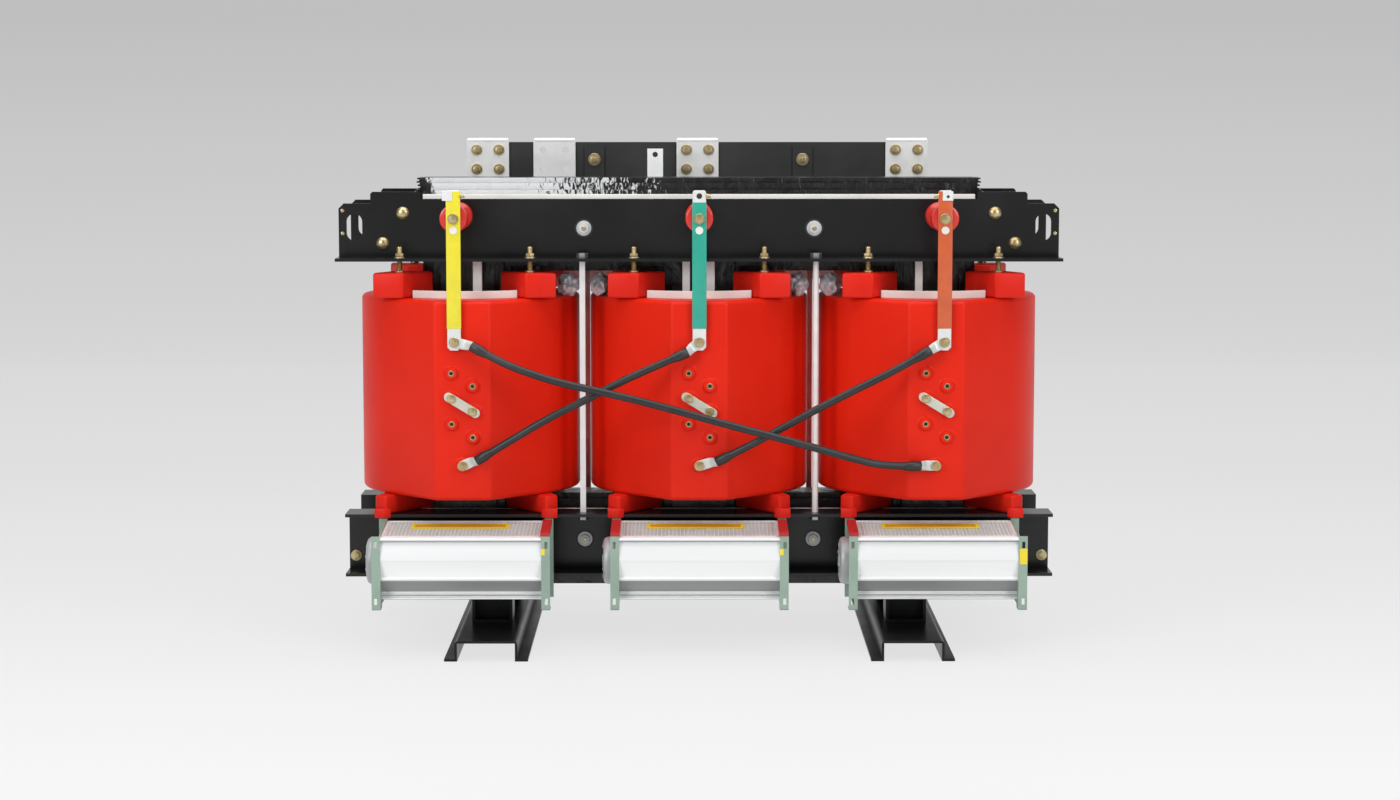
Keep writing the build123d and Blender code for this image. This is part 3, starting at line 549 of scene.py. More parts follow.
# Support blocks with moulded edges, the lower ones with a lip outside the clamp
blocks = {
    "upper": {"plan": ((0.120, 0.185), (0.181, 0.175), (0.143, 0.106), (0.066, 0.113)),
              "low": 0.685, "high": 0.735, "node": "upper_blocks"},
    "lower": {"plan": ((0.181, 0.168), (0.158, 0.186), (0.072, 0.077), (0.150, 0.077)),
              "low": 0.258, "high": 0.295, "node": "lower_blocks"},
}
blockLip = {"plan": ((0.1805, 0.1816), (0.1805, 0.1840), (0.1600, 0.1895), (0.1480, 0.1816)),
            "low": 0.251, "high": 0.270}
corners = [(side, hand) for side in (-1, 1) for hand in (-1, 1)]
for name, block in blocks.items():
    bm = bmesh.new()
    for x in phaseX:
        for side, hand in corners:
            outline = [(x + hand * a, side * b) for a, b in block["plan"]]
            addPrism(bm, outline, block["low"], block["high"], inPlan, 0.005, 3)
            if name == "lower":
                outline = [(x + hand * a, side * b) for a, b in blockLip["plan"]]
                addPrism(bm, outline, blockLip["low"], blockLip["high"], inPlan, 0.0015, 2)
    addPiece(name + "Blocks", bm, "blockRed", (block["node"],))

# Arc strips standing on the coils
strip = {"radius": 0.195, "thick": 0.0045, "half": math.degrees(math.asin(0.103 / 0.195)),
         "low": 0.685, "high": 0.700}
bm = bmesh.new()
for x in phaseX:
    outline = []
    for radius, way in ((strip["radius"], 1), (strip["radius"] - strip["thick"], -1)):
        outline += arcPoints((x, 0.0), radius, -90 - way * strip["half"], way * 2 * strip["half"], 32)
    addPrism(bm, outline, strip["low"], strip["high"], inPlan, 0.0006, 1)
addPiece("arcStrips", bm, "boardWhite", ("air_strips",))

# Cross-flow fans: one local model, repeated six times
fan = {"half": 0.157, "axisY": -0.255, "axisZ": 0.178, "plate": 0.002, "wire": 0.0009}
fanPlaces = [(x, side) for side in (-1, 1) for x in phaseX]
frontPlaces = fanPlaces[:3]


def repeated(local, places):
    whole = bmesh.new()
    for x, side in places:
        fanCopy = local.copy()
        bmesh.ops.scale(fanCopy, vec=(1.0, -side, 1.0), verts=fanCopy.verts)
        bmesh.ops.translate(fanCopy, vec=(x, 0.0, 0.0), verts=fanCopy.verts)
        pour(whole, fanCopy)
    local.free()
    return whole


housing = [
    (-0.3130, 0.2345), (-0.3260, 0.2345), (-0.3300, 0.2330), (-0.3315, 0.2300), (-0.3305, 0.2275),
    (-0.3262, 0.2262), (-0.3240, 0.2245), (-0.3240, 0.2225), (-0.3258, 0.2205), (-0.3310, 0.1910),
    (-0.3306, 0.1890), (-0.3200, 0.1590), (-0.3205, 0.1560), (-0.3250, 0.1545), (-0.3262, 0.1520),
    (-0.3250, 0.1490), (-0.3200, 0.1470), (-0.3020, 0.1245), (-0.3020, 0.1225), (-0.3060, 0.1215),
    (-0.3075, 0.1195), (-0.3060, 0.1175), (-0.3030, 0.1165), (-0.3030, 0.1145), (-0.3070, 0.1130),
    (-0.3070, 0.1105), (-0.3035, 0.1090), (-0.2990, 0.1085), (-0.1960, 0.1085), (-0.1860, 0.1250),
    (-0.1860, 0.2400), (-0.1885, 0.2400), (-0.1885, 0.1270), (-0.1975, 0.1125), (-0.2980, 0.1125),
    (-0.2985, 0.1255), (-0.3160, 0.1480), (-0.3165, 0.1600), (-0.3270, 0.1900), (-0.3215, 0.2220),
    (-0.3215, 0.2310), (-0.3130, 0.2310),
]
bm = bmesh.new()
inner = fan["half"] - fan["plate"]
addPrism(bm, housing, -inner, inner, inSide)
addPiece("fanHousings", repeated(bm, fanPlaces), "fanSheet", ("fan_housings",))

# Grille: wires and a rim in a plane of its own, then leaned on the housing
grille = {"front": (0.0, -0.3160, 0.2330), "back": (0.0, -0.1870, 0.2448), "long": 43, "cross": 19,
          "rim": 0.006, "under": -0.0015, "over": 0.0016}
slope = Vector(grille["back"]) - Vector(grille["front"])
width = slope.length
lean = Vector((0, 1, 0)).rotation_difference(slope).to_matrix().to_4x4()
lean = Matrix.Translation(grille["front"]) @ lean
bm = bmesh.new()
wire = fan["wire"]
for k in range(grille["long"]):
    x = -inner + 0.001 + k * (2 * inner - 0.002) / (grille["long"] - 1)
    addBox(bm, (x - wire, 0.0, -wire), (x + wire, width, wire))
for k in range(grille["cross"]):
    y = k * width / (grille["cross"] - 1)
    addBox(bm, (-inner, y - wire, -wire * 0.6), (inner, y + wire, wire * 0.6))
for y in (0.0, width - grille["rim"]):
    addBox(bm, (-inner, y, grille["under"]), (inner, y + grille["rim"], grille["over"]), 0.0005, 1)
for x in (-inner, inner - grille["rim"]):
    addBox(bm, (x, 0.0, grille["under"]), (x + grille["rim"], width, grille["over"]), 0.0005, 1)
bm.transform(lean)
addPiece("fanGrilles", repeated(bm, fanPlaces), "fanGuard", ("fan_grilles",))

# Two-coloured strips on the front grilles
for name, low, high, look in (
    ("fanStrips", (-0.103, 0.064, 0.0012), (0.088, 0.104, 0.0019), "stripYellow"),
    ("fanStripCores", (-0.096, 0.074, 0.0019), (0.081, 0.094, 0.0023), "stripOrange"),
):
    bm = bmesh.new()
    addBox(bm, low, high)
    bm.transform(lean)
    addPiece(name, repeated(bm, frontPlaces), look)

# End plates with a front flange that holds two slots, a back flange, a foot flange and four screws
plate = {
    "side": ((-0.3300, 0.0930), (-0.3300, 0.2360), (-0.3260, 0.2385), (-0.1870, 0.2500),
             (-0.1830, 0.2480), (-0.1830, 0.0930), (-0.2050, 0.0930), (-0.2130, 0.1010),
             (-0.2990, 0.1010), (-0.3070, 0.0930)),
    "flange": 0.015, "front": (-0.3320, -0.3298), "slot": (0.0045, 0.0105),
    "slots": ((0.1030, 0.1155), (0.2130, 0.2260)),
    "bridges": ((0.0930, 0.1030), (0.1155, 0.2130), (0.2260, 0.2365)),
    "screws": ((-0.3150, 0.2230), (-0.2000, 0.2320), (-0.2000, 0.1200), (-0.3000, 0.1220)),
    "screw": ((0.0, 0.0), (0.0042, 0.0), (0.0042, 0.0016), (0.0030, 0.0030), (0.0, 0.0030)),
}
bm = bmesh.new()
for hand in (-1, 1):
    x = hand * fan["half"]
    near = x - hand * fan["plate"]
    low = min(x, near)
    addPrism(bm, plate["side"], low, low + fan["plate"], inSide, 0.0004, 1)
    edge = sorted((near, x + hand * plate["flange"]))
    slot = sorted(x + hand * reach for reach in plate["slot"])
    front, back = plate["front"]
    for bottom, top in plate["slots"]:
        addBox(bm, (edge[0], front, bottom), (slot[0], back, top))
        addBox(bm, (slot[1], front, bottom), (edge[1], back, top))
    for bottom, top in plate["bridges"]:
        addBox(bm, (edge[0], front, bottom), (edge[1], back, top))
    addBox(bm, (edge[0], -0.1830, 0.0930), (edge[1], -0.1810, 0.2500), 0.0004, 1)
    addBox(bm, (edge[0], -0.3320, 0.0930), (edge[1], -0.3020, 0.0950), 0.0004, 1)
    for y, z in plate["screws"]:
        addTurned(bm, plate["screw"], (x, y, z), (hand, 0, 0), 16)
addPiece("fanEndPlates", repeated(bm, fanPlaces), "fanPlate", ("fan_end_plates",))

# Motor: a can with a ring of rivets on its face and three ears on the plate
motor = {
    "can": ((0.0, 0.032), (0.010, 0.032), (0.0115, 0.0305), (0.0125, 0.0285), (0.0230, 0.0285),
            (0.0250, 0.0300), (0.0380, 0.0300), (0.0430, 0.0280), (0.0455, 0.0240), (0.0460, 0.0200),
            (0.0460, 0.0090), (0.0440, 0.0080), (0.0440, 0.0), (0.0, 0.0)),
    "rivets": {"count": 8, "offset": 0.5, "circle": 0.0315, "stand": 0.0299,
               "profile": ((0.0, 0.0), (0.0032, 0.0), (0.0032, 0.0012), (0.0, 0.0018))},
    "ears": {"count": 3, "offset": 0.25, "circle": 0.052, "stand": 0.0,
             "profile": ((0.0, 0.0), (0.0050, 0.0), (0.0050, 0.0050), (0.0, 0.0060))},
}
bm = bmesh.new()
addTurned(bm, motor["can"], (-fan["half"], fan["axisY"], fan["axisZ"]), (-1, 0, 0), 44)
for fixing in (motor["rivets"], motor["ears"]):
    for k in range(fixing["count"]):
        turn = 2 * math.pi * (k + fixing["offset"]) / fixing["count"]
        y = fan["axisY"] + fixing["circle"] * math.cos(turn)
        z = fan["axisZ"] + fixing["circle"] * math.sin(turn)
        addTurned(bm, fixing["profile"], (-fan["half"] - fixing["stand"], y, z), (-1, 0, 0), 12)
addPiece("fanMotors", repeated(bm, fanPlaces), "motorGrey", ("fan_motors",))
print("fans")

# Red tape over the end plates' top edges, and yellow tape down the right front plates
tape = {"outline": ((-0.3322, 0.2367), (-0.3322, 0.2440), (-0.2150, 0.2530), (-0.2150, 0.2480)),
        "near": -0.0035, "far": 0.0145, "hands": ((1,), (-1, 1), (-1,))}
yellowTape = {"front": -0.3325, "back": -0.3321, "high": 0.2125,
              "spans": ((-0.002, 0.005, 0.200), (-0.002, 0.005, 0.200), (0.0, 0.0148, 0.182))}
bm = bmesh.new()
yellow = bmesh.new()
for x, hands, (near, far, low) in zip(phaseX, tape["hands"], yellowTape["spans"]):
    for hand in hands:
        edge = sorted(x + hand * (fan["half"] + reach) for reach in (tape["near"], tape["far"]))
        addPrism(bm, tape["outline"], edge[0], edge[1], inSide)
    addBox(yellow, (x + fan["half"] + near, yellowTape["front"], low),
           (x + fan["half"] + far, yellowTape["back"], yellowTape["high"]))
addPiece("plateTape", bm, "tapeRed")
addPiece("plateTapeYellow", yellow, "stripYellow")

# Lead bars standing on the low voltage coils between the front blocks
lead = {"spans": ((-0.033, -0.018), (0.013, 0.031)), "front": -0.128, "back": -0.122,
        "low": 0.685, "high": 0.7565}
bm = bmesh.new()
for x in phaseX:
    for near, far in lead["spans"]:
        addBox(bm, (x + near, lead["front"], lead["low"]), (x + far, lead["back"], lead["high"]), 0.0008, 1)
addPiece("lowVoltageLeads", bm, "paleTin")

# Post insulators with sheds, their bars and bolts
post = {"height": 0.844, "web": -0.108, "length": 0.1555}
shed = [(0.0, 0.0), (0.0265, 0.0), (0.0270, 0.0020), (0.0270, 0.0240), (0.0255, 0.0260), (0.0225, 0.0275)]
for k in range(3):
    base = 0.0400 + k * 0.0260
    shed += [(0.0215, base), (0.0225, base + 0.0030), (0.0268, base + 0.0060), (0.0270, base + 0.0085),
             (0.0225, base + 0.0130), (0.0212, base + 0.0160)]
shed += [(0.0220, 0.1270), (0.0262, 0.1300), (0.0270, 0.1330), (0.0270, 0.1520), (0.0258, 0.1545),
         (0.0230, post["length"]), (0.0, post["length"])]
bm = bmesh.new()
for index, x in enumerate(phaseX):
    addTurned(bm, shed, (x + terminalShift[index], post["web"], post["height"]), (0, -1, 0), 56)
addPiece("postInsulators", bm, "insulatorRed", ("post_insulators",))

# Phase bars: a tinned bar with cut corners, a coloured sleeve, a dark disc painted as the shade of a hole at
# the top, and a plain disc
bar = {"half": 0.013, "back": -0.2635, "front": -0.2665, "top": 0.899, "end": 0.590, "topCut": 0.003,
       "endCut": 0.006, "sleeveEnd": 0.632, "skin": 0.0009, "hole": 0.888, "disc": 0.822}
sleeves = {"A": ("sleeveYellow", 0.8975), "B": ("sleeveGreen", 0.876), "C": ("sleeveRed", 0.8975)}
forward = (0, -1, 0)
barX = {letter: phaseX[index] + terminalShift[index] for index, letter in enumerate("ABC")}
for letter, x in barX.items():
    bm = bmesh.new()
    half = bar["half"]
    top = bar["top"]
    end = bar["end"]
    outline = [(x - half, end + bar["endCut"]), (x - half + bar["endCut"], end),
               (x + half - bar["endCut"], end), (x + half, end + bar["endCut"]),
               (x + half, top - bar["topCut"]), (x + half - bar["topCut"], top),
               (x - half + bar["topCut"], top), (x - half, top - bar["topCut"])]
    addPrism(bm, outline, bar["back"], bar["front"], inFront, 0.0005, 1)
    addPiece("phaseBar" + letter, bm, "paleTin", ("phase_bar_" + letter.lower(),))
    look, sleeveTop = sleeves[letter]
    bm = bmesh.new()
    addBox(bm, (x - half - bar["skin"], bar["front"] - bar["skin"], bar["sleeveEnd"]),
           (x + half + bar["skin"], bar["back"] + bar["skin"], sleeveTop), 0.0012, 3)
    addPiece("barSleeve" + letter, bm, look)
    # a dark disc painted as the shade of the hole at the top of the bar
    bm = bmesh.new()
    addDisc(bm, (x, bar["front"], bar["hole"]), forward, 0.0055, 0.0004, 20)
    addPiece("tabHoleShade" + letter, bm, "paintedHoleShade")
    bm = bmesh.new()
    addDisc(bm, (x, bar["front"] - bar["skin"], bar["disc"]), forward, 0.0075, 0.0008, 24)
    addPiece("phaseDisc" + letter, bm, "boardWhite")

# Small bolts on the bars' edges, and the tinned tabs at the tops of the outer bars
tab = {"bolt": ((0.0, 0.0), (0.0050, 0.0), (0.0050, 0.0020), (0.0036, 0.0022), (0.0036, 0.0085),
                (0.0030, 0.0095), (0.0, 0.0095)),
       "sides": {"A": 1, "B": 1, "C": -1}, "boltY": -0.265, "thick": 0.0024, "low": 0.879,
       "spans": (("A", -0.0210, -0.0010, 0.898), ("C", -0.0060, 0.0145, 0.897)),
       "hole": (0.0045, 0.0023, 0.887)}
bm = bmesh.new()
for letter, side in tab["sides"].items():
    base = (barX[letter] + side * bar["half"], tab["boltY"], bar["hole"])
    addTurned(bm, tab["bolt"], base, (side, 0, 0), 20)
addPiece("tabBolts", bm, "zincYellow")
bm = bmesh.new()
for letter, near, far, high in tab["spans"]:
    addBox(bm, (barX[letter] + near, bar["front"] - tab["thick"], tab["low"]),
           (barX[letter] + far, bar["front"] - bar["skin"], high), 0.0005, 1)
addPiece("sideTab", bm, "paleTin")
# a dark disc painted as the shade of the hole in the right tab
bm = bmesh.new()
shift, depth, z = tab["hole"]
addDisc(bm, (barX["C"] + shift, bar["front"] - depth, z), forward, 0.0030, 0.0004, 20)
addPiece("sideTabHoleShade", bm, "paintedHoleShade")

# Hexagon bolts: across is the head's corner radius, stub the thread that shows beyond it
boltSizes = {
    "insulator": {"across": 0.0085, "height": 0.0062, "washer": 0.0105},
    "terminal": {"across": 0.0078, "height": 0.0060, "washer": 0.0100, "stub": 0.004},
    "link": {"across": 0.0072, "height": 0.0050, "washer": 0.0088},
    "pressing": {"across": 0.0088, "height": 0.0075, "washer": 0.0108},
    "through": {"across": 0.0105, "height": 0.0080, "washer": 0.0150, "thick": 0.0026},
    "end": {"across": 0.0082, "height": 0.0056, "washer": 0.0110},
    "plate": {"across": 0.0078, "height": 0.0060, "washer": 0.0112, "thick": 0.0022},
    "beam": {"across": 0.0090, "height": 0.0070, "washer": 0.0130, "thick": 0.0022, "stub": 0.003},
}


def addBolt(bm, kind, base, axis):
    size = boltSizes[kind]
    across = size["across"]
    height = size["height"]
    washer = size["washer"]
    thick = size.get("thick", 0.0018)
    addTurned(bm, ((0.0, 0.0), (washer, 0.0), (washer, thick * 0.7), (washer - 0.0006, thick), (0.0, thick)),
              base, axis, 32)
    verts = bmesh.ops.create_cone(bm, cap_ends=True, segments=6, radius1=across, radius2=across,
                                  depth=height)["verts"]
    bmesh.ops.translate(bm, vec=(0, 0, thick + height / 2), verts=verts)
    rims = [e for e in edgesOf(verts) if abs(e.verts[0].co.z - e.verts[1].co.z) < 1e-6]
    bevelled = soften(bm, rims, across * 0.12, 2, 0.6)
    touched = {v for v in verts if v.is_valid} | {v for face in bevelled["faces"] for v in face.verts}
    bmesh.ops.transform(bm, matrix=standOn(base, axis), verts=list(touched))
    if "stub" in size:
        stub = size["stub"]
        thread = across * 0.52
        start = thick + height
        turns = max(2, int(stub / 0.0016))
        rings = [(0.0, start - 0.0002)]
        for k in range(turns):
            z = start + k * stub / turns
            rings += [(thread, z), (thread * 0.88, z + stub / turns / 2)]
        rings += [(thread * 0.8, start + stub), (0.0, start + stub)]
        addTurned(bm, rings, base, axis, 16)


bm = bmesh.new()
for x in barX.values():
    addBolt(bm, "insulator", (x, bar["front"] - bar["skin"], post["height"]), forward)
addPiece("insulatorBolts", bm, "zincYellow", ("insulator_bolts",))
bm = bmesh.new()
for index, x in enumerate(barX.values()):
    addBolt(bm, "terminal", (x, bar["front"] - 0.003, coil["terminalTop"]), forward)
    addBolt(bm, "terminal", (phaseX[index], bar["front"], coil["terminalBottom"]), forward)
addPiece("terminalNuts", bm, "zincYellow", ("hv_terminal_bolts",))

# Tap links: a bar with round ends on two taps of each coil
link = {"left": 0.496, "right": 0.471, "end": 0.009, "beyond": 0.006, "back": -0.2635, "front": -0.2665}
bm = bmesh.new()
for x in phaseX:
    for side, z in ((-1, link["left"]), (1, link["right"])):
        addBolt(bm, "link", (x + side * coil["columns"], link["front"], z), forward)
addPiece("linkBolts", bm, "zincYellow", ("tap_link_bolts",))
bm = bmesh.new()
for x in phaseX:
    first = Vector((x - coil["columns"], link["left"]))
    last = Vector((x + coil["columns"], link["right"]))
    along = (last - first).normalized()
    turn = math.degrees(math.atan2(along.y, along.x))
    outline = arcPoints(first - along * link["beyond"], link["end"], turn + 90, 180, 24)
    outline += arcPoints(last + along * link["beyond"], link["end"], turn - 90, 180, 24)
    addPrism(bm, outline, link["back"], link["front"], inFront, 0.0006, 2)
addPiece("tapLinks", bm, "linkTin", ("tap_links",))

# Pressing bolts: a foot, a threaded stud and a nut
pressing = {"x": 0.128, "y": 0.161, "seat": 0.735, "nut": 0.763, "pitch": 0.00165, "turns": 30,
            "crest": 0.0055, "root": 0.0048,
            "foot": ((0.0, 0.0), (0.0085, 0.0), (0.0090, 0.0006), (0.0090, 0.0034), (0.0084, 0.0040),
                     (0.0, 0.0040))}
stud = [(0.0, 0.0)]
for k in range(pressing["turns"]):
    z = k * pressing["pitch"]
    stud += [(pressing["crest"], z), (pressing["root"], z + 0.0008)]
stud += [(0.0046, 0.0500), (0.0, 0.0508)]
bm = bmesh.new()
for x in phaseX:
    for side, hand in corners:
        foot = (x + hand * pressing["x"], side * pressing["y"], pressing["seat"])
        addTurned(bm, pressing["foot"], foot, (0, 0, 1), 32)
        addTurned(bm, stud, foot, (0, 0, 1), 20)
        addBolt(bm, "pressing", (foot[0], foot[1], pressing["nut"]), (0, 0, 1))
addPiece("pressingBolts", bm, "zincYellow", ("pressing_bolts",))

# Through bolts of both yokes, on insulating rings, with the bolt's end showing
through = {"x": 0.228, "levels": (0.819, 0.198), "ring": 0.108, "washer": 0.1085, "end": 0.1165,
           "ringShape": ((0.0, 0.0), (0.0185, 0.0), (0.0185, 0.0005), (0.0, 0.0006)),
           "endShape": ((0.0, 0.0), (0.0046, 0.0), (0.0046, 0.0030), (0.0036, 0.0042), (0.0, 0.0042))}
bm = bmesh.new()
rings = bmesh.new()
ends = bmesh.new()
for z in through["levels"]:
    for hand, side in corners:
        x = hand * through["x"]
        addBolt(bm, "through", (x, side * through["washer"], z), (0, side, 0))
        addTurned(rings, through["ringShape"], (x, side * through["ring"], z), (0, side, 0), 32)
        addTurned(ends, through["endShape"], (x, side * through["end"], z), (0, side, 0), 20)
addPiece("yokeBolts", bm, "washerPale", ("yoke_bolts",))
addPiece("boltEnds", ends, "zincYellow")
addPiece("insulatingRings", rings, "jacketBlack")

# Domed end bolts and screws of the upper clamps, and the lower clamps' earth bolts
endFixings = {
    "domes": ((0.586, 0.849), (0.626, 0.789)), "screws": ((0.705, 0.854), (0.705, 0.809)),
    "earth": (0.686, 0.165), "face": 0.108,
    "dome": ((0.0, 0.0), (0.0130, 0.0), (0.0130, 0.0016), (0.0118, 0.0036), (0.0090, 0.0062),
             (0.0050, 0.0080), (0.0, 0.0086)),
    "screw": ((0.0, 0.0), (0.0040, 0.0), (0.0034, 0.0022), (0.0, 0.0030)),
}
bm = bmesh.new()
for side, hand in corners:
    face = side * endFixings["face"]
    for x, z in endFixings["domes"]:
        addTurned(bm, endFixings["dome"], (hand * x, face, z), (0, side, 0), 32)
    for x, z in endFixings["screws"]:
        addTurned(bm, endFixings["screw"], (hand * x, face, z), (0, side, 0), 20)
    x, z = endFixings["earth"]
    addBolt(bm, "end", (hand * x, face, z), (0, side, 0))
addPiece("endBolts", bm, "zincYellow", ("end_bolts",))

# Crimped lugs: a round barrel that flattens into a palm under the terminal bolt
lug = {
    "palm": 0.0100, "flat": 0.0015, "barrel": 0.0090, "crimp": 0.0006,
    "seats": {"bar": -0.2680, "nub": -0.2650},
    "neck": ((0.62, 0.0096, 0.0042), (0.48, 0.0100, 0.0022), (0.36, 0.0100, 0.0015)),
    "sleeve": ((0.0, 0.0), (0.0094, 0.0), (0.0101, 0.0012), (0.0101, 0.0205), (0.0088, 0.0260),
               (0.0084, 0.0330), (0.0, 0.0330)),
}
lugSpots = {
    1: ((-0.474, 0.606), (0.46, 0.365)),
    2: ((0.0, 0.606), (-0.46, 0.365)),
    3: ((0.474, 0.606), (0.0, 0.365)),
}


def cableEnds(points):
    return (Vector(points[0]), Vector(points[1])), (Vector(points[-1]), Vector(points[-2]))


# One cross section of a lug: round on the barrel, nearly square on the palm
def lugSection(centre, facing, wide, thick):
    across = facing.cross(Vector((0, 1, 0))).normalized()
    out = across.cross(facing).normalized()
    power = 1.0 if thick > 0.006 else 0.45
    points = []
    for k in range(24):
        turn = 2 * math.pi * k / 24
        u = math.copysign(abs(math.cos(turn)) ** power, math.cos(turn)) * wide
        v = math.copysign(abs(math.sin(turn)) ** power, math.sin(turn)) * thick
        points.append(centre + across * u + out * v)
    return points


def addLug(bm, point, after, hole):
    way = (after - point).normalized()
    flatWay = point - hole
    flatWay.y = 0.0
    reach = flatWay.length
    flatWay.normalize()
    barrel = lug["barrel"]
    sections = [lugSection(point + way * 0.0180, way, 0.0082, 0.0082),
                lugSection(point + way * 0.0172, way, barrel, barrel)]
    for k in range(5):
        wide = barrel - lug["crimp"] * (k % 2)
        sections.append(lugSection(point + way * (0.0140 - 0.0035 * k), way, wide, barrel))
    sections.append(lugSection(point - way * 0.004, way, barrel, 0.0078))
    for share, wide, thick in lug["neck"]:
        sections.append(lugSection(hole + flatWay * reach * share, flatWay, wide, thick))
    for k in range(9):
        angle = math.pi / 2 * k / 8
        wide = max(lug["palm"] * math.cos(angle), 0.0008)
        centre = hole - flatWay * lug["palm"] * math.sin(angle)
        sections.append(lugSection(centre, flatWay, wide, lug["flat"]))
    addLoft(bm, sections)


bm = bmesh.new()
sleeving = bmesh.new()
for number, points in cableRoutes.items():
    for (point, after), (x, z), seat in zip(cableEnds(points), lugSpots[number], lug["seats"].values()):
        addLug(bm, point, after, Vector((x, seat, z)))
        way = (after - point).normalized()
        addTurned(sleeving, lug["sleeve"], point - way * 0.0035, way, 28)
addPiece("cableLugs", bm, "lugTin", ("cable_lugs",), sharp=50.0)
addPiece("lugSleeves", sleeving, "jacketBlack")

# Low voltage plates: their bolts, the beam's own bolts and the rounded lips on top, whose extra white is a
# painted highlight
lvPlates = {"centres": (-0.437, -0.002, 0.432), "step": 0.023, "rows": (0.928, 0.968),
            "front": 0.190, "neutral": -0.299}
beam = {"x": 0.216, "front": 0.191, "back": 0.201, "height": 0.948}
plateLipAndHighlight = {"half": 0.0435, "front": -0.0012, "back": 0.0072, "low": 0.984, "high": 0.9925}
bm = bmesh.new()
for x in lvPlates["centres"]:
    for hand in (-1, 1):
        for z in lvPlates["rows"]:
            addBolt(bm, "plate", (x + hand * lvPlates["step"], lvPlates["front"], z), forward)
for hand in (-1, 1):
    addBolt(bm, "beam", (hand * beam["x"], beam["front"], beam["height"]), forward)
    addBolt(bm, "beam", (hand * beam["x"], beam["back"], beam["height"]), (0, 1, 0))
addPiece("terminalBolts", bm, "zincYellow", ("terminal_bolts",))
bm = bmesh.new()
for x in lvPlates["centres"] + (lvPlates["neutral"],):
    addBox(bm, (x - plateLipAndHighlight["half"], lvPlates["front"] + plateLipAndHighlight["front"], plateLipAndHighlight["low"]),
           (x + plateLipAndHighlight["half"], lvPlates["front"] + plateLipAndHighlight["back"], plateLipAndHighlight["high"]), 0.0040, 4)
addPiece("plateLipsAndHighlights", bm, "paintedHighlightWhite")

# Ragged sheet ends on the top yoke
sheetEnd = {"x": 0.5525, "half": 0.0375, "low": 0.9135, "high": 0.9165, "step": 0.0034,
            "reaches": (0.011, 0.007, 0.012, 0.006, 0.010, 0.005, 0.009, 0.014, 0.018, 0.023)}
bm = bmesh.new()
for end in (-1, 1):
    for k, reach in enumerate(sheetEnd["reaches"]):
        near, far = sorted((end * sheetEnd["x"], end * (sheetEnd["x"] + reach)))
        down = sheetEnd["step"] * k
        addBox(bm, (near, -sheetEnd["half"], sheetEnd["low"] - down),
               (far, sheetEnd["half"], sheetEnd["high"] - down))
addPiece("sheetEnds", bm, "coreBlack")

# Wrapped leads: creased lumps between the upper blocks
wrapped = {"spots": ((-0.261, 0.020), (-0.198, 0.018), (0.198, 0.018), (0.261, 0.020)),
           "deep": 0.030, "tall": 0.022, "y": -0.075, "z": 0.706}
bm = bmesh.new()
for x, half in wrapped["spots"]:
    for vert in bmesh.ops.create_icosphere(bm, subdivisions=4, radius=1.0)["verts"]:
        fold = 1.0 + 0.30 * noise.noise(vert.co * 2.2 + Vector((x * 40, 0, 0)))
        fold += 0.16 * abs(noise.noise(vert.co * 5.0 + Vector((0, x * 30, 0))))
        vert.co = Vector((x + vert.co.x * half * fold, wrapped["y"] + vert.co.y * wrapped["deep"] * fold,
                          wrapped["z"] + vert.co.z * wrapped["tall"] * fold))
addPiece("wrappedLeads", bm, "foilSilver")
print("insulators and bolts")

# Floor and backdrop in one sweep that gives off most of its own tone, so shadows stay faint; the glow is
# painted light, brighter at the front and darker towards the back and the top
sweep = {"front": -14.0, "back": 5.6, "bend": 1.0, "top": 8.0, "half": 12.0, "glow": 0.92, "base": 0.12,
         "tones": ((0.0, 0.853), (0.06, 0.83), (0.223, 0.76), (0.49, 0.715), (1.0, 0.675))}
floorMaterial = bpy.data.materials.new("studioSweep")
floorMaterial.use_nodes = True
tree = floorMaterial.node_tree
spot = axesOf(tree, "ShaderNodeTexCoord", "Object")
paintedDepthFalloff = addNode(tree, "ShaderNodeValToRGB", {"Fac": rangeNode(tree, spot["Y"], -1.3, 6.0)})
marks = paintedDepthFalloff.color_ramp.elements
for place, value in sweep["tones"][1:-1]:
    marks.new(place)
for mark, (place, value) in zip(marks, sweep["tones"]):
    mark.color = (value, value, value, 1.0)
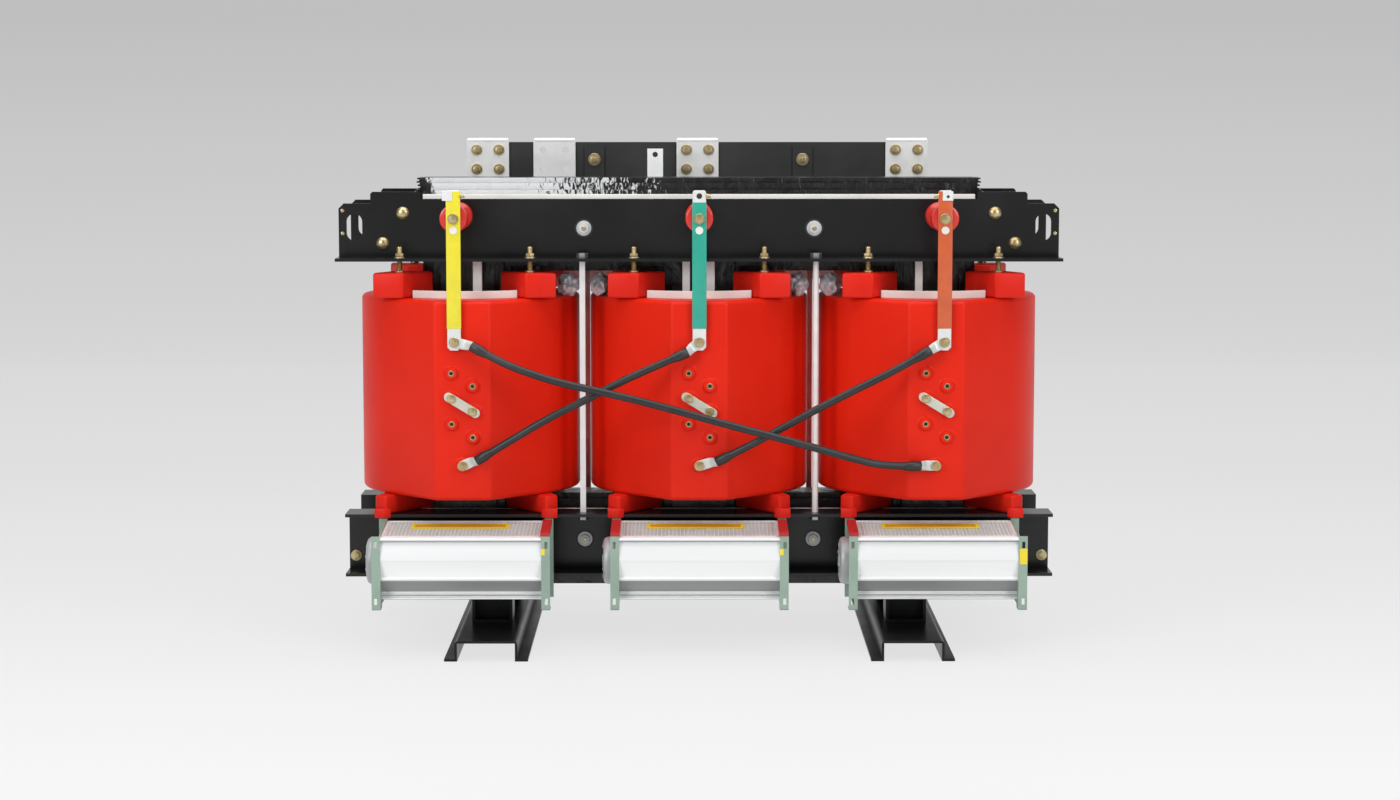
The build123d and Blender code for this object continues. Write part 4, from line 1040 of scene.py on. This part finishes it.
# painted falloff of light: darker towards the top of the backdrop
paintedHeightFalloff = rangeNode(tree, spot["Z"], 0.0, 1.4, 1.0, 0.76)
tone = mixNode(tree, 1.0, paintedDepthFalloff.outputs["Color"], paintedHeightFalloff, "MULTIPLY")
fill(tree, tree.nodes["Principled BSDF"], {
    "Base Color": mixNode(tree, 1.0, tone, (sweep["base"],) * 3 + (1.0,), "MULTIPLY"),
    "Roughness": 0.7,
    "Specular IOR Level": 0.2,
    "Emission Color": tone,
    "Emission Strength": sweep["glow"],
})
bm = bmesh.new()
route = [(sweep["front"], 0.0)] + arcPoints((sweep["back"], sweep["bend"]), sweep["bend"], -90, 90, 16)
route.append((sweep["back"] + sweep["bend"], sweep["top"]))
verts = [bm.verts.new((-sweep["half"], y, z)) for y, z in route]
edges = [bm.edges.new(pair) for pair in zip(verts, verts[1:])]
grown = bmesh.ops.extrude_edge_only(bm, edges=edges)["geom"]
across = [item for item in grown if isinstance(item, bmesh.types.BMVert)]
bmesh.ops.translate(bm, vec=(2 * sweep["half"], 0.0, 0.0), verts=across)
bmesh.ops.recalc_face_normals(bm, faces=bm.faces)
for face in bm.faces:
    face.smooth = True
sweepMesh = bpy.data.meshes.new("studioSweep")
bm.to_mesh(sweepMesh)
bm.free()
sweepMesh.materials.append(floorMaterial)
backdrop = bpy.data.objects.new("studioSweep", sweepMesh)
bpy.context.scene.collection.objects.link(backdrop)

# Lights
lamps = {
    "topSoft": {"place": (0.0, -0.8, 4.2), "aim": (0.0, 0.0, 0.4), "size": (5.0, 4.0), "power": 150.0},
    "frontLeft": {"place": (-3.4, -4.2, 2.6), "aim": (0.0, 0.0, 0.5), "size": (2.2, 2.6), "power": 120.0},
    "frontRight": {"place": (3.4, -4.2, 2.6), "aim": (0.0, 0.0, 0.5), "size": (2.2, 2.6), "power": 100.0},
    "backWash": {"place": (0.0, 0.6, 3.4), "aim": (0.0, 2.8, 1.2), "size": (6.0, 1.0), "power": 26.0},
}
for name, settings in lamps.items():
    lampData = bpy.data.lights.new(name, "AREA")
    lampData.shape = "RECTANGLE"
    lampData.size = settings["size"][0]
    lampData.size_y = settings["size"][1]
    lampData.energy = settings["power"]
    lamp = bpy.data.objects.new(name, lampData)
    lamp.location = settings["place"]
    aim = Vector(settings["aim"]) - Vector(settings["place"])
    lamp.rotation_euler = aim.to_track_quat("-Z", "Y").to_euler()
    bpy.context.scene.collection.objects.link(lamp)

world = bpy.data.worlds.new("studioWorld")
world.use_nodes = True
air = world.node_tree
fill(air, air.nodes["Background"], {"Color": (0.9, 0.95, 1.0, 1.0), "Strength": 0.16})
bpy.context.scene.world = world
bpy.context.scene.view_settings.view_transform = "Standard"
print("stage and lights")
